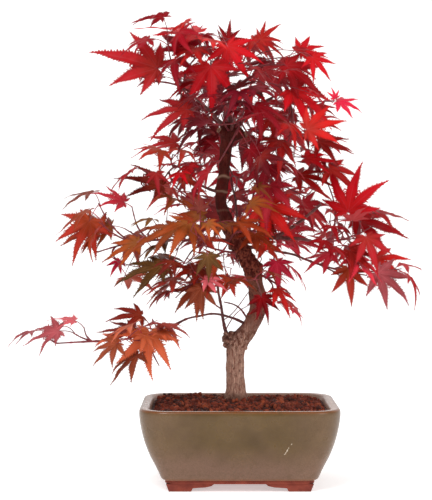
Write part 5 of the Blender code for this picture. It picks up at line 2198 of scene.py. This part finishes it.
    def add_to(self, pile: Pile, leaf: Leaf, rng: Random, pick: int, slender: float) -> None:
        """Adds one leaf's blade to a pile, its own shade drawn at random.

        Args:
            pile: Where it goes.
            leaf: The leaf.
            rng: Where its bends and its shade are drawn from.
            pick: The material of its upper side.
            slender: How much narrower than usual its lobes are.
        """
        verts = self.bend(leaf, rng, slender)
        shade = rng.random()
        both = np.concatenate([np.arange(len(self.x)), self.inner])
        marks = np.stack([self.across, self.along], 1)[both]
        tones = np.stack([self.rim, np.full(len(self.rim), shade)], 1)[both]
        pile.add(verts, self.faces, pick + self.sides, marks, tones)


# The bonsai's pieces


@dataclass
class Trunk:
    """The trunk's bark with its relief, rings, rounded top, burl and sawn stubs."""

    rings: tuple[Ring, ...] = (Ring(304.8, 0.5, 0.85), Ring(290.1, 0.7, 0.9), Ring(271.0, 0.3, 0.3))
    ring_reach: Pair = (1.2, 1.1)  # of a ring's rise and of its pale colour
    ring_wander: Pair = (0.15, 1.6)
    sides: int = 96
    step: float = 1.0
    sunk: float = 2.0  # how far the flare goes on under the soil's grains
    burr: Place = (202.0, 256.0, 2.16)  # rough zone: low, high, relief
    streak: Place = (9.0, 0.035, 0.32)  # scale round and up the trunk, and relief
    stub_sides: int = 16
    stub_rows: int = 8
    stub_start: float = 0.1  # where a stub begins, as a share of its length
    stub_flare: float = 1.4
    stub_rough: Pair = (0.5, 0.3)
    saw_gap: float = 0.02  # how far beyond its bark a stub's sawn end stands
    cap_rows: int = 6
    foot_share: float = 1.04  # the sunk foot's radius as a share of the lowest one
    cap_share: float = 0.3  # the top's least radius as a share of the last one
    scars: tuple[Knot, ...] = (
        Knot(136.5, -12.0, 2.0, 3.2),
        Knot(145.0, 188.0, -9.0, 6.6),
        Knot(153.0, 186.0, -3.2, 6.0),
        Knot(153.0, 2.0, 1.4, 6.0),
        Knot(146.0, 236.0, 1.2, 2.2),
        Knot(128.0, 268.0, 0.6, 1.8),
        Knot(166.0, 250.0, 0.8, 2.0),
        Knot(184.0, 285.0, 0.9, 2.4),
        Knot(214.0, -4.0, 1.8, 2.2),
        Knot(209.0, -16.0, 1.3, 2.0),
        Knot(238.0, 172.0, 1.6, 3.0),
        Knot(229.0, 186.0, 1.2, 2.4),
    )
    burl: Burl = Burl((-8.2, 1.0, 141.6), (8.8, 8.8, 9.6), 3.2)
    burl_rows: tuple[int, int] = (40, 64)  # up and round
    burl_lumps: Pair = (0.2, 0.42)  # scale and strength
    burl_rough: Pair = (0.9, 0.5)
    burl_cracks: Place = (0.34, 0.45, 0.09)  # scale, how much longer they are upwards, and width
    crack_depth: float = 1.3
    lumps: Place = (0.22, 0.45, 0.35)  # scale, mean and strength of the bark's lumps
    rough: Pair = (0.6, 0.16)
    burr_edge: float = 10.0  # how far the rough zone takes to set in

    def burl_mesh(self) -> Mesh:
        """The lump at the knob, cracked and torn at its top.

        Returns:
            Its vertices and faces.
        """
        (rows, turns), burl = self.burl_rows, self.burl
        (lump_scale, lump), (rough_scale, rough) = self.burl_lumps, self.burl_rough
        crack_scale, tall, width = self.burl_cracks
        verts = []
        for i in range(rows + 1):
            rise = pi * (i + 0.5) / (rows + 1) - pi / 2
            for k in range(turns):
                out = pointing(tau * k / turns, rise)
                size = sum(abs(o / r) ** burl.square for o, r in zip(out, burl.reach)) ** (-1 / burl.square)
                spot = Vector(burl.middle) + out * size
                size *= 1 + (noise.turbulence(spot * lump_scale, 3, False) - 0.5) * lump
                crack = abs(noise.noise(Vector((spot.x, spot.y, spot.z * tall)) * crack_scale))
                depth = self.crack_depth * max(0.0, 1 - crack / width)
                size -= depth + rough * noise.noise(spot * rough_scale)
                verts.append(Vector(burl.middle) + out * size)
        return verts, skin(rows + 1, turns)

    def ring_share(self, ring: Ring, place: Vector, height: float, reach: float) -> float:
        """How near a height is to a ring that wanders with the place.

        Args:
            ring: The ring.
            place: The place.
            height: The height.
            reach: How far it reaches.

        Returns:
            A share of 0 to 1.
        """
        scale, wander = self.ring_wander
        return bell((height - ring.height + noise.noise(place * scale) * wander) / reach)

    def relief(self, place: Vector, radius: float, out: Vector) -> float:
        """The bark's reach from the centre line, with streaks, scars, rings and the rough zone.

        Args:
            place: Where on the centre line.
            radius: The trunk's radius there.
            out: The direction.

        Returns:
            The reach in that direction.
        """
        reach = trunk_radius(place, radius, out)
        spot = place + out * radius
        turn = atan2(out.y, out.x)
        around, up, depth = self.streak
        streak = Vector((cos(turn) * around, sin(turn) * around, place.z * up))
        reach += noise.noise(streak) * depth
        for scar in self.scars:
            reach += scar.swell * scar.share(place.z, degrees(turn), radius)
        low, high, depth = self.burr
        share = clamp((place.z - low) / self.burr_edge) * clamp((high - place.z) / self.burr_edge)
        scale, mean, strength = self.lumps
        lump = noise.turbulence(spot * scale, 3, False) - mean
        reach += lump * depth * share + lump * strength
        reach += noise.noise(spot * self.rough[0]) * self.rough[1]
        for ring in self.rings:
            reach += ring.swell * self.ring_share(ring, spot, place.z, self.ring_reach[0])
        return reach

    def paleness(self, place: Vector) -> float:
        """How pale the rings make the bark at a place: partly the scars' own paleness, partly painted sheen
        on their ridges.
        """
        reach = self.ring_reach[1]
        return max(ring.pale * self.ring_share(ring, place, place.z, reach) for ring in self.rings)

    def add_stub(self, pile: Pile, stub: Stub) -> None:
        """Adds a sawn stub, its end in the second material.

        Args:
            pile: Where it goes.
            stub: The stub.
        """
        place = trunk_at(stub.height)[0]
        out = pointing(radians(stub.angle), radians(stub.rise))
        free = 1 - self.stub_start
        shares = [self.stub_start + free * i / self.stub_rows for i in range(self.stub_rows + 1)]
        points = [place + out * stub.length * share for share in shares]
        radii = [mix(stub.radius * self.stub_flare, stub.radius, share) for share in shares]

        def uneven(place: Vector, radius: float, side: Vector) -> float:
            """The stub's reach."""
            return radius + noise.noise((place + side) * self.stub_rough[0]) * self.stub_rough[1]

        verts, faces = tube(points, radii, self.stub_sides, uneven)
        pile.add_faces((verts, faces[:-1]))
        end = [v + out * self.saw_gap for v in verts[-self.stub_sides :]]
        pile.add_faces((end, [tuple(range(self.stub_sides))]), 1)

    def build(self, finishes: Finishes) -> None:
        """Builds the bark and stubs, and puts them in place of the solid.

        Args:
            finishes: The materials by name.
        """
        line = trunk_line(self.step)
        points = [line[0][0] - UP * self.sunk] + [p for p, _ in line]
        radii = [line[0][1] * self.foot_share] + [r for _, r in line]
        ahead = (points[-1] - points[-2]).normalized()
        top, last = points[-1].copy(), radii[-1]
        for i in range(1, self.cap_rows + 1):
            turn = pi / 2 * i / self.cap_rows
            points.append(top + ahead * TRUNK_CAP[0] * sin(turn))
            radii.append(last * mix(self.cap_share, 1.0, cos(turn)))
        pile = Pile()
        verts, faces = tube(points, radii, self.sides, self.relief)
        pile.add_faces((verts, faces), 0, np.array([(self.paleness(v), 0.0) for v in verts]))
        pile.add_faces(self.burl_mesh())
        for stub in STUBS:
            self.add_stub(pile, stub)
        pile.to_piece("trunk_bark", [finishes["bark"], finishes["sawn"]], ["trunk"])


@dataclass
class Boughs:
    """The limbs: smooth tapering tubes with collars, nodes and a little wander."""

    lines: Limbs
    sides: int = 14
    step: float = 1.2
    collar: Pair = (0.9, 7.0)  # how much wider a limb is where it leaves its parent, and how far on
    slim: float = 0.82  # the limbs' radii here as a share of the solids'
    slims: dict[str, float] = field(
        default_factory=lambda: {"low_left_bough": 0.62, "knob_bough": 0.8, "far_left_bough": 0.6}
    )
    young: tuple[str, ...] = ("far_left_bough",)  # limbs still as red as a stalk
    node_gap: Pair = (9.0, 16.0)
    node_swell: Pair = (0.22, 1.3)  # how much a node stands out, and how long it is
    rough: Pair = (0.5, 0.16)

    def radii(self, name: str, points: Line, radii: Sequence[float]) -> list[float]:
        """The radii with the collar and the swollen nodes.

        Args:
            name: The limb's name.
            points: Its line.
            radii: Its radii without them.

        Returns:
            A radius for each point.
        """
        rng = Random(name + " nodes")
        gone = [0.0]
        for a, b in zip(points, points[1:]):
            gone.append(gone[-1] + (b - a).length)
        nodes = []
        place = rng.uniform(*self.node_gap)
        while place < gone[-1]:
            nodes.append(place)
            place += rng.uniform(*self.node_gap)
        made = []
        for along, radius in zip(gone, radii):
            swell = sum(self.node_swell[0] * bell((along - node) / self.node_swell[1]) for node in nodes)
            swell += self.collar[0] * exp(-along / self.collar[1])
            made.append(radius * self.slims.get(name, self.slim) * (1 + swell))
        return made

    def build(self, finishes: Finishes) -> None:
        """Builds each limb in place of its solid.

        Args:
            finishes: The materials by name.
        """

        def uneven(place: Vector, radius: float, out: Vector) -> float:
            """The limb's reach."""
            return radius * (1 + noise.noise((place + out * radius) * self.rough[0]) * self.rough[1])

        for bough in BOUGHS:
            points, radii = self.lines[bough.name]
            if bough.name in DRAWN_PATHS:
                points = DRAWN_PATHS[bough.name]
                radii = [mix(*bough.radii, i / (len(points) - 1)) for i in range(len(points))]
            points, radii = resample(points, radii, self.step)
            pile = Pile()
            pile.add_faces(tube(points, self.radii(bough.name, points, radii), self.sides, uneven))
            finish = finishes["stalk" if bough.name in self.young else "bough"]
            pile.to_piece(bough.name + "_bark", [finish], [bough.name])


@dataclass
class BareShoots:
    """Thin leafless shoots about the knob and the knuckle, and pale root hairs at the trunk's foot."""

    lines: Limbs
    thicket: Thicket
    sides: int = 8
    step: float = 1.0
    fan: int = 12
    fan_seed: int = 5
    fan_rise: Pair = (15.0, 80.0)
    fan_length: Pair = (16.0, 36.0)
    fan_radii: Pair = (1.25, 0.5)
    fan_start: float = 5.0  # how far from the knuckle's middle they start
    fan_lift: Pair = (-0.2, 0.3)
    fan_rows: int = 5
    knuckle: float = 349.0
    knots: tuple[int, float] = (9, 1.3)  # places from one knot to the next, and how thick a knot is
    hairs: int = 5
    hair_seed: int = 3
    hair_sides: int = 6
    hair_turn: Pair = (150.0, 235.0)
    hair_length: Pair = (7.0, 15.0)
    hair_radii: Pair = (0.22, 0.12)
    hair_start: Pair = (0.5, 7.0)  # heights above the soil where they start
    hair_end: Pair = (-1.0, 1.5)  # and where they end
    hair_lift: Pair = (0.1, 0.5)
    hair_rows: int = 8

    def fan_lines(self) -> list[Limb]:
        """Short dark shoots that fan out of the knuckle wherever the leaves leave room.

        Returns:
            Their lines and radii.
        """
        rng = Random(self.fan_seed)
        knuckle = trunk_at(self.knuckle)[0]
        made: list[Limb] = []
        for _ in range(self.fan * TRIES):
            turn, rise = rng.uniform(0.0, tau), radians(rng.uniform(*self.fan_rise))
            out = pointing(turn, rise)
            tip = knuckle + out * rng.uniform(*self.fan_length) + UP * 4
            heading = (out + UP * rng.uniform(*self.fan_lift)).normalized()
            points = arc(knuckle + out * self.fan_start, heading, tip, self.fan_rows)
            radii = [mix(*self.fan_radii, i / self.fan_rows) for i in range(self.fan_rows + 1)]
            mesh = tube(points[2:], radii[2:], TWIG_SIDES)
            if len(made) < self.fan and not self.thicket.meets(mesh):
                self.thicket.add(mesh, "fan")
                made.append((points, radii))
        return made

    def build(self, finishes: Finishes) -> None:
        """Builds the shoots and the hairs, a piece for each.

        Args:
            finishes: The materials by name.
        """
        shoots = Pile()
        every, thick = self.knots
        for points, radii in shoot_lines(self.lines) + self.fan_lines():
            points, radii = resample(points, radii, self.step)
            knots = [r * (thick if i % every == every // 2 else 1.0) for i, r in enumerate(radii)]
            shoots.add_faces(tube(points, knots, self.sides))
        shoots.to_piece("bare_shoots", [finishes["twig"]], [])
        rng = Random(self.hair_seed)
        level, x, y, radius = TRUNK_BENDS[0]
        hairs = Pile()
        for _ in range(self.hairs):
            out = pointing(radians(rng.uniform(*self.hair_turn)), 0.0)
            start = Vector((x, y, level + rng.uniform(*self.hair_start))) + out * radius * 0.85
            tip = start + out * rng.uniform(*self.hair_length)
            tip.z = level + rng.uniform(*self.hair_end)
            heading = (out + UP * rng.uniform(*self.hair_lift)).normalized()
            points = arc(start, heading, tip, self.hair_rows)
            radii = [mix(*self.hair_radii, i / self.hair_rows) for i in range(self.hair_rows + 1)]
            hairs.add_faces(tube(points, radii, self.hair_sides))
        hairs.to_piece("root_hairs", [finishes["hair"]], [])


@dataclass
class Crown:
    """The masses of leaves: twigs in one piece, blades and stalks in another."""

    form: LeafForm = field(default_factory=LeafForm)
    sides: int = 8
    step: float = 2.0
    slim: Pair = (0.8, 0.62)  # the twigs' radii here as a share of the solids', and at their tips
    node_gap: float = 12.0
    node_swell: Pair = (0.28, 1.2)
    stem_back: float = 2.0  # how far a stem goes back into its limb
    stem_radii: Place = (1.1, 1.15, 1.1)
    stalk_steps: int = 6
    stalk_sides: int = 5
    stalk_ends: Pair = (0.5, 0.34)
    stalk_knee: Place = (0.55, 0.08, 0.14)  # how far along its bow's knee lies, up and back from the aim
    stalk_stray: float = 0.03  # of the knee, as a share of the stalk's length
    stalk_hold: float = 0.03  # how far it runs under the blade, as a share of the blade's size
    sharp: float = 60.0
    # Masses with narrower leaves, and by how much
    slender: dict[str, float] = field(
        default_factory=lambda: {"far_left_leaves": 0.45, "left_upper_leaves": 0.15, "left_leaves": 0.12}
    )
    finishes: dict[tuple[Tint, Side], Material] = field(default_factory=dict)

    def finish(self, tint: Tint, side: Side) -> Material:
        """The material of a tint's side, made once.

        Args:
            tint: The tint.
            side: The side.

        Returns:
            The material.
        """
        if (tint, side) not in self.finishes:
            self.finishes[tint, side] = LeafFinish(tint, side).make()
        return self.finishes[tint, side]

    def stalk_mesh(self, leaf: Leaf, rng: Random) -> Mesh:
        """A leaf's thin stalk, which leaves the twig, bows a little and meets the blade along its aim.

        Args:
            leaf: The leaf.
            rng: Where its bow is drawn from.

        Returns:
            Its vertices and faces.
        """
        run = leaf.foot - leaf.root
        aim = leaf.aim.normalized()
        along, up, back = self.stalk_knee
        knee = leaf.root + run * along + (UP * up - aim * back) * run.length
        knee += three(rng.gauss, 0.0, self.stalk_stray) * run.length
        steps = self.stalk_steps
        points = [bow(leaf.root, knee, leaf.foot, i / steps) for i in range(steps + 1)]
        points.append(leaf.foot + aim * leaf.size * self.stalk_hold)
        radii = [mix(*self.stalk_ends, i / (steps + 1)) for i in range(steps + 2)]
        return tube(points, radii, self.stalk_sides)

    def twig_mesh(self, twig: Twig) -> Mesh:
        """A twig as a smooth tube with swollen nodes, thinner at its tip.

        Args:
            twig: The twig.

        Returns:
            Its vertices and faces.
        """
        points, radii = resample(twig.points, twig.radii, self.step)
        count = len(points) - 1
        shaped = []
        for i, radius in enumerate(radii):
            phase = (i * self.step % self.node_gap) - self.node_gap / 2
            swell = self.node_swell[0] * bell(phase / self.node_swell[1])
            shaped.append(radius * self.slim[0] * mix(1.0, self.slim[1], i / count) * (1 + swell))
        return tube(points, shaped, self.sides)

    def build(self, growth: Growth, finishes: Finishes) -> None:
        """Builds one mass in place of its solid.

        Args:
            growth: The mass as it has grown.
            finishes: The materials of twigs and stalks.
        """
        mass = growth.mass
        twigs = Pile()
        for twig in growth.twigs:
            twigs.add_faces(self.twig_mesh(twig))
        root, after = growth.stem.points[:2]
        back = root - (after - root).normalized() * self.stem_back
        twigs.add_faces(tube([back, root, root.lerp(after, 0.2)], self.stem_radii, self.sides))
        name = mass.name.replace("leaves", "twigs")
        twigs.to_piece(name, [finishes["twig"]], [mass.name])
        tints = growth.spray_tints()
        used = sorted(set(tints), key=lambda tint: tint.name)
        blades = Pile()
        rng = Random(mass.name + " blades")
        for leaf, tint in zip(growth.leaves, tints):
            self.form.add_to(blades, leaf, rng, used.index(tint) * 2, self.slender.get(mass.name, 0.0))
            blades.add_faces(self.stalk_mesh(leaf, rng), len(used) * 2)
        materials = [self.finish(tint, side) for tint in used for side in Side] + [finishes["stalk"]]
        name = mass.name.replace("leaves", "foliage")
        blades.to_piece(name, materials, [mass.name], self.sharp)


@dataclass
class Pot:
    """The glazed bowl, its bare clay band and its four feet."""

    # Height, and how far in from the widest outline
    profile: tuple[Pair, ...] = (
        (11.5, 23.6), (12.0, 22.4), (14.0, 20.9), (19.0, 18.6), (26.0, 15.0), (34.0, 10.6), (44.0, 6.4),
        (54.0, 3.3), (64.0, 1.1), (72.0, 0.1), (76.0, 0.0), (77.8, 0.3), (78.9, 1.0), (79.5, 2.2),
        (79.6, 3.6), (79.5, 6.0), (79.2, 7.4), (78.3, 8.7), (76.8, 9.6),
    )
    row: float = 0.6  # between two loops
    front_share: float = 0.56  # the front and back lean in less than the ends
    upright: Pair = (50.0, 25.0)  # from this height up all sides come to lean alike, over this much
    corner: Pair = (29.0, 6.0)  # radius of the corners, and the least
    cavity: Pair = (22.0, 15.0)  # floor, and how much it narrows
    cavity_rows: int = 8
    corner_steps: int = 18
    straight_steps: int = 24
    edges: tuple[Place, ...] = ((78.9, 1.1, 1.0), (12.2, 0.9, 0.75))  # height, reach and strength
    # The rim's flat, between these insets, gets a painted highlight
    lip: Pair = (1.8, 3.4)  # insets between which the rim turns to its pale flat
    lip_low: float = 70.0
    rounding: Pair = (0.7, 32.0)  # of the clay's edges: width, and the least turn that gets it
    rounding_rows: int = 3
    clay_sharp: float = 40.0
    clay_parts: tuple[str, ...] = (
        "pot_band",
        "pot_foot_front_left",
        "pot_foot_front_right",
        "pot_foot_back_left",
        "pot_foot_back_right",
    )

    def loop(self, z: float, inset: float, share: float) -> Line:
        """The bowl's outline at a height: a rounded rectangle, anticlockwise.

        Args:
            z: The height.
            inset: How far in its ends lie.
            share: How far in its front and back lie, as a share of that.

        Returns:
            The outline, with places along its straight sides too.
        """
        size = (POT_BOX[1] - POT_BOX[0]) / METRES
        corner = max(self.corner[0] - inset * 0.8, self.corner[1])
        x, y = size.x / 2 - inset - corner, size.y / 2 - inset * share - corner
        points: Line = []
        ways = ((1, 1), (-1, 1), (-1, -1), (1, -1), (1, 1))
        steps = self.corner_steps

        def on_corner(at: int, turns: float) -> Vector:
            """A place on a corner, where its arc has turned by so many quarters.

            Args:
                at: Which corner.
                turns: How many quarters.

            Returns:
                The place.
            """
            turn = pi / 2 * turns
            across, deep = ways[at][0] * x, ways[at][1] * y
            return Vector((across + corner * cos(turn), deep + corner * sin(turn), z))

        for quarter in range(4):
            points += [on_corner(quarter, quarter + k / steps) for k in range(steps + 1)]
            last, end = points[-1], on_corner(quarter + 1, quarter + 1)
            points += [last.lerp(end, i / self.straight_steps) for i in range(1, self.straight_steps)]
        return points

    def tone(self, z: float, inset: float) -> Pair:
        """How brown an edge is at a height and inset of the bowl, and how far it lies on the rim's flat,
        where a highlight is painted.

        Args:
            z: The height.
            inset: The inset.

        Returns:
            Both, from 0 to 1.
        """
        brown = max(strength * bell((z - at) / spread) for at, spread, strength in self.edges)
        low, high = self.lip
        flat = clamp((inset - low) / (high - low)) if z > self.lip_low else 0.0
        return brown * (1 - flat), flat

    def build(self, finishes: Finishes) -> None:
        """Builds the bowl, band and feet in place of their solids.

        Args:
            finishes: The materials by name.
        """
        loops, tones = [], []
        for place, _ in spline([(Vector((inset, z, 0.0)), 0.0) for z, inset in self.profile], self.row):
            inset, z = place.x, place.y
            share = mix(self.front_share, 1.0, clamp((z - self.upright[0]) / self.upright[1]))
            loops.append(self.loop(z, inset, share))
            tones += [self.tone(z, inset)] * len(loops[-1])
        (top_z, top_inset), (floor, narrows) = self.profile[-1], self.cavity
        for i in range(1, self.cavity_rows + 1):
            z = mix(top_z, floor, i / self.cavity_rows)
            loops.append(self.loop(z, top_inset + narrows * (top_z - z) / (top_z - floor), 1.0))
            tones += [(0.0, 1.0)] * len(loops[-1])
        pile = Pile()
        bowl = [point for loop in loops for point in loop]
        pile.add_faces((bowl, skin(len(loops), len(loops[0]))), 0, np.array(tones))
        pile.to_piece("pot_glazed", [finishes["glaze"]], ["pot"])
        for name in self.clay_parts:
            self.bevel(name, finishes["clay"])

    def bevel(self, name: str, clay: Material) -> None:
        """A copy of a clay piece with its edges rounded, in place of its solid.

        Args:
            name: The solid's node.
            clay: The material.
        """
        data = frame["nodes"][name].data.copy()
        data.materials.clear()
        data.materials.append(clay)
        made = new_object(name + "_clay", data)
        rounding = made.modifiers.new("rounding", "BEVEL")
        rounding.width = self.rounding[0] * METRES
        rounding.segments = self.rounding_rows
        rounding.limit_method = "ANGLE"
        rounding.angle_limit = radians(self.rounding[1])
        data.shade_smooth()
        data.set_sharp_from_angle(angle=radians(self.clay_sharp))
        dress_node(made, [name])
        LOG.info("%s: rounded", made.name)


@dataclass
class SoilBed:
    """The soil: its bed, and loose grains of baked clay that lie on it."""

    seed: int = 5
    counts: tuple[int, int] = (1100, 3800)  # of large and small grains
    sizes: tuple[Pair, Pair] = ((1.4, 3.1), (0.7, 1.5))
    rounds: tuple[int, int] = (2, 1)  # how often a grain's faces are split
    margin: float = 1.6  # how far grains keep from the bed's edge
    # Heaps: x, y, reach and height
    heaps: tuple[tuple[float, float, float, float], ...] = (
        (-72.0, 46.0, 12.0, 5.0),
        (-50.0, 50.0, 14.0, 2.5),
        (68.0, 44.0, 12.0, 3.0),
        (34.0, -30.0, 20.0, 1.6),
        (-38.0, -34.0, 18.0, 1.6),
    )
    trunk_clear: float = 9.0
    sunk: Pair = (-0.35, 0.55)  # how far a grain lies below or above the bed, as a share of its size
    squash: Pair = (0.65, 1.25)
    shares: Place = (0.5, 0.24, 0.26)  # of red, light and dark grains
    rough: Pair = (1.3, 0.45)
    sharp: float = 25.0

    def grain(self, rounds: int) -> Mesh:
        """A unit lump with this many rounds of splitting.

        Args:
            rounds: How many rounds.

        Returns:
            Its vertices and faces.
        """
        build = bmesh.new()
        bmesh.ops.create_icosphere(build, subdivisions=rounds, radius=1.0)
        verts = [v.co.copy() for v in build.verts]
        faces = [tuple(v.index for v in face.verts) for face in build.faces]
        build.free()
        return verts, faces

    def build(self, finishes: Finishes) -> None:
        """Dresses the bed and strews the grains.

        Args:
            finishes: The materials by name.
        """
        bed = frame["nodes"]["soil"]
        bed.data.materials.clear()
        bed.data.materials.append(finishes["soil"])
        tree = BVHTree.FromPolygons(
            [v.co for v in bed.data.vertices], [tuple(p.vertices) for p in bed.data.polygons]
        )
        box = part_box("soil")
        rng = Random(self.seed)
        pile = Pile()
        for count, sizes, rounds in zip(self.counts, self.sizes, self.rounds):
            shape = self.grain(rounds)
            for _ in range(count):
                self.add_grain(pile, shape, self.drop(tree, box, rng, sizes), rng)
        materials = [finishes[name] for name in ("grain", "grain_light", "grain_dark")]
        pile.to_piece("soil_grains", materials, [], self.sharp)

    def drop(
        self, tree: BVHTree, box: Sequence[Vector], rng: Random, sizes: Pair
    ) -> tuple[Vector, float] | None:
        """Drops a grain on the bed.

        Args:
            tree: The bed's faces.
            box: Its lowest and highest corners.
            rng: Where its place is drawn from.
            sizes: Its least and greatest size.

        Returns:
            Where it comes to lie, and its size, or None where it would fall outside.
        """
        low, high = box
        x, y = rng.uniform(low.x, high.x), rng.uniform(low.y, high.y)
        size = rng.uniform(*sizes)
        rim = (size + self.margin) * METRES
        hits = [
            tree.ray_cast(Vector((x + dx, y + dy, high.z + 0.02)), -UP)[0]
            for dx, dy in ((0, 0), (rim, 0), (-rim, 0), (0, rim), (0, -rim))
        ]
        if any(hit is None for hit in hits):
            return None
        spot = (hits[0] - ORIGIN) / METRES
        if (spot.xy - Vector(TRUNK_BENDS[0][1:3])).length < self.trunk_clear:
            return None
        spot.z += size * rng.uniform(*self.sunk)
        for heap_x, heap_y, reach, height in self.heaps:
            away = Vector((spot.x - heap_x, spot.y - heap_y)).length / reach
            spot.z += height * bell(away) * rng.uniform(0.2, 1.0)
        return spot, size

    def add_grain(
        self, pile: Pile, shape: Mesh, lump: tuple[Vector, float] | None, rng: Random
    ) -> None:
        """Adds one grain, squashed, turned and roughened.

        Args:
            pile: Where it goes.
            shape: The unit lump.
            lump: Its place and size, or None for no grain.
            rng: Where its shape is drawn from.
        """
        if not lump:
            return
        spot, size = lump
        squash = three(rng.uniform, *self.squash)
        turn = Matrix.Rotation(rng.uniform(0, tau), 3, three(rng.gauss, 0, 1).normalized())
        offset = three(rng.uniform, 0, 50)
        placed = []
        for vert in shape[0]:
            rough = 1 + noise.noise(vert * self.rough[0] + offset) * self.rough[1]
            placed.append(spot + turn @ (vert * squash) * size * rough)
        pile.add_faces((placed, shape[1]), rng.choices((0, 1, 2), self.shares)[0])


@dataclass(frozen=True)
class Studio:
    """A pale floor under soft light, and the camera."""

    eye: Place = (-23.0, -1300.0, 256.6)
    pitch: float = degrees(atan2(25.0, 1300.0))  # looks down by this
    lens: float = 93.6
    floor_grey: float = 0.92
    floor_cloud: float = 0.8
    floor_glow: float = 0.45
    white: tuple[float, ...] = (1.0, 1.0, 1.0, 1.0)
    sky: tuple[float, ...] = (1.0, 0.985, 0.98, 1.0)
    world: float = 0.5
    depth: float = 1.6
    curve: float = 1.0
    curve_rows: int = 12
    height: float = 3.0
    half_width: float = 5.0
    aim: float = 0.25  # height that the lights point at
    # Name, place, size and power of each light: a soft key from the upper left and a weaker fill
    lights: tuple[tuple[str, Place, float, float], ...] = (
        ("key", (-0.6, -1.1, 1.5), 0.9, 17.0),
        ("fill", (1.1, -1.1, 0.9), 1.2, 10.0),
    )

    def build(self) -> None:
        """Builds the floor, the lights and the camera."""
        self.build_floor()
        self.build_lights()
        self.build_camera()
        LOG.info("studio: floor, lights and camera")

    def build_floor(self) -> None:
        """A wide pale floor that sweeps up behind the plant."""
        sweep = [(-self.depth, 0.0), (self.depth, 0.0)]
        for i in range(1, self.curve_rows + 1):
            turn = pi / 2 * i / self.curve_rows
            sweep.append((self.depth + self.curve * sin(turn), self.curve * (1 - cos(turn))))
        sweep.append((self.depth + self.curve, self.curve + self.height))
        verts = [(side, y, z) for y, z in sweep for side in (-self.half_width, self.half_width)]
        faces = [(i, i + 1, i + 3, i + 2) for i in range(0, len(verts) - 2, 2)]
        data = bpy.data.meshes.new("floor")
        data.from_pydata(verts, [], faces)
        data.shade_smooth()
        paper = Surface("floor_paper")
        grey, cloud = ((tone, tone, tone, 1.0) for tone in (self.floor_grey, self.floor_cloud))
        colour = paper.blend(paper.noise(paper.place, 1.5, 2.0), grey, cloud, 0.05)
        glow = {"Emission_Color": self.white, "Emission_Strength": self.floor_glow}
        data.materials.append(paper.done(colour, 0.9, Specular_IOR_Level=0.1, **glow))
        new_object("floor", data)

    def build_lights(self) -> None:
        """White surroundings, and the lights."""
        world = bpy.data.worlds.new("studio")
        world.use_nodes = True
        sky = world.node_tree.nodes["Background"]
        sky.inputs["Color"].default_value = self.sky
        sky.inputs["Strength"].default_value = self.world
        bpy.context.scene.world = world
        target = ORIGIN + UP * self.aim
        for name, place, size, power in self.lights:
            data = bpy.data.lights.new(name, "AREA")
            data.shape = "DISK"
            data.size = size
            data.energy = power
            light = new_object(name, data)
            light.location = ORIGIN + Vector(place)
            light.rotation_euler = (target - light.location).to_track_quat("-Z", "Y").to_euler()

    def build_camera(self) -> None:
        """The camera at the photo's height and distance."""
        data = bpy.data.cameras.new("camera")
        data.lens = self.lens
        data.clip_end = 60.0
        camera = new_object("camera", data)
        camera.location = ORIGIN + Vector(self.eye) * METRES
        camera.rotation_euler = (radians(90.0 - self.pitch), 0.0, 0.0)
        scene = bpy.context.scene
        scene.camera = camera
        scene.view_settings.view_transform = "Standard"
        scene.view_settings.look = "None"


def main() -> None:
    """Builds the pot, soil, limbs and leaves, then the studio."""
    logging.basicConfig(level=logging.INFO, format="%(message)s")
    finishes = {
        "bark": BarkFinish().make(),
        "sawn": SawnFinish().make(),
        "bough": TwigFinish().make(),
        "twig": TwigFinish("twig_bark", (84, 20, 28), (142, 46, 52), (150, 86, 80), 0.06).make(),
        "stalk": StalkFinish().make(),
        "hair": TwigFinish("root_hair", (150, 110, 92), (196, 158, 134), (214, 184, 160), 0.05).make(),
        "glaze": GlazeFinish().make(),
        "clay": ClayFinish().make(),
        "soil": SoilFinish("soil", (36, 14, 9), (76, 31, 18)).make(),
        "grain": SoilFinish("grain_red", (74, 27, 14), (124, 50, 26)).make(),
        "grain_light": SoilFinish("grain_light", (104, 44, 24), (152, 72, 42)).make(),
        "grain_dark": SoilFinish("grain_dark", (46, 19, 13), (84, 36, 23)).make(),
    }
    lines = limb_lines()
    Pot().build(finishes)
    SoilBed().build(finishes)
    Trunk().build(finishes)
    Boughs(lines).build(finishes)
    grown = grow_all(lines)
    BareShoots(lines, grown[0].thicket).build(finishes)
    crown = Crown()
    for growth in grown:
        crown.build(growth, finishes)
    Studio().build()


if __name__ == "__main__":
    main()
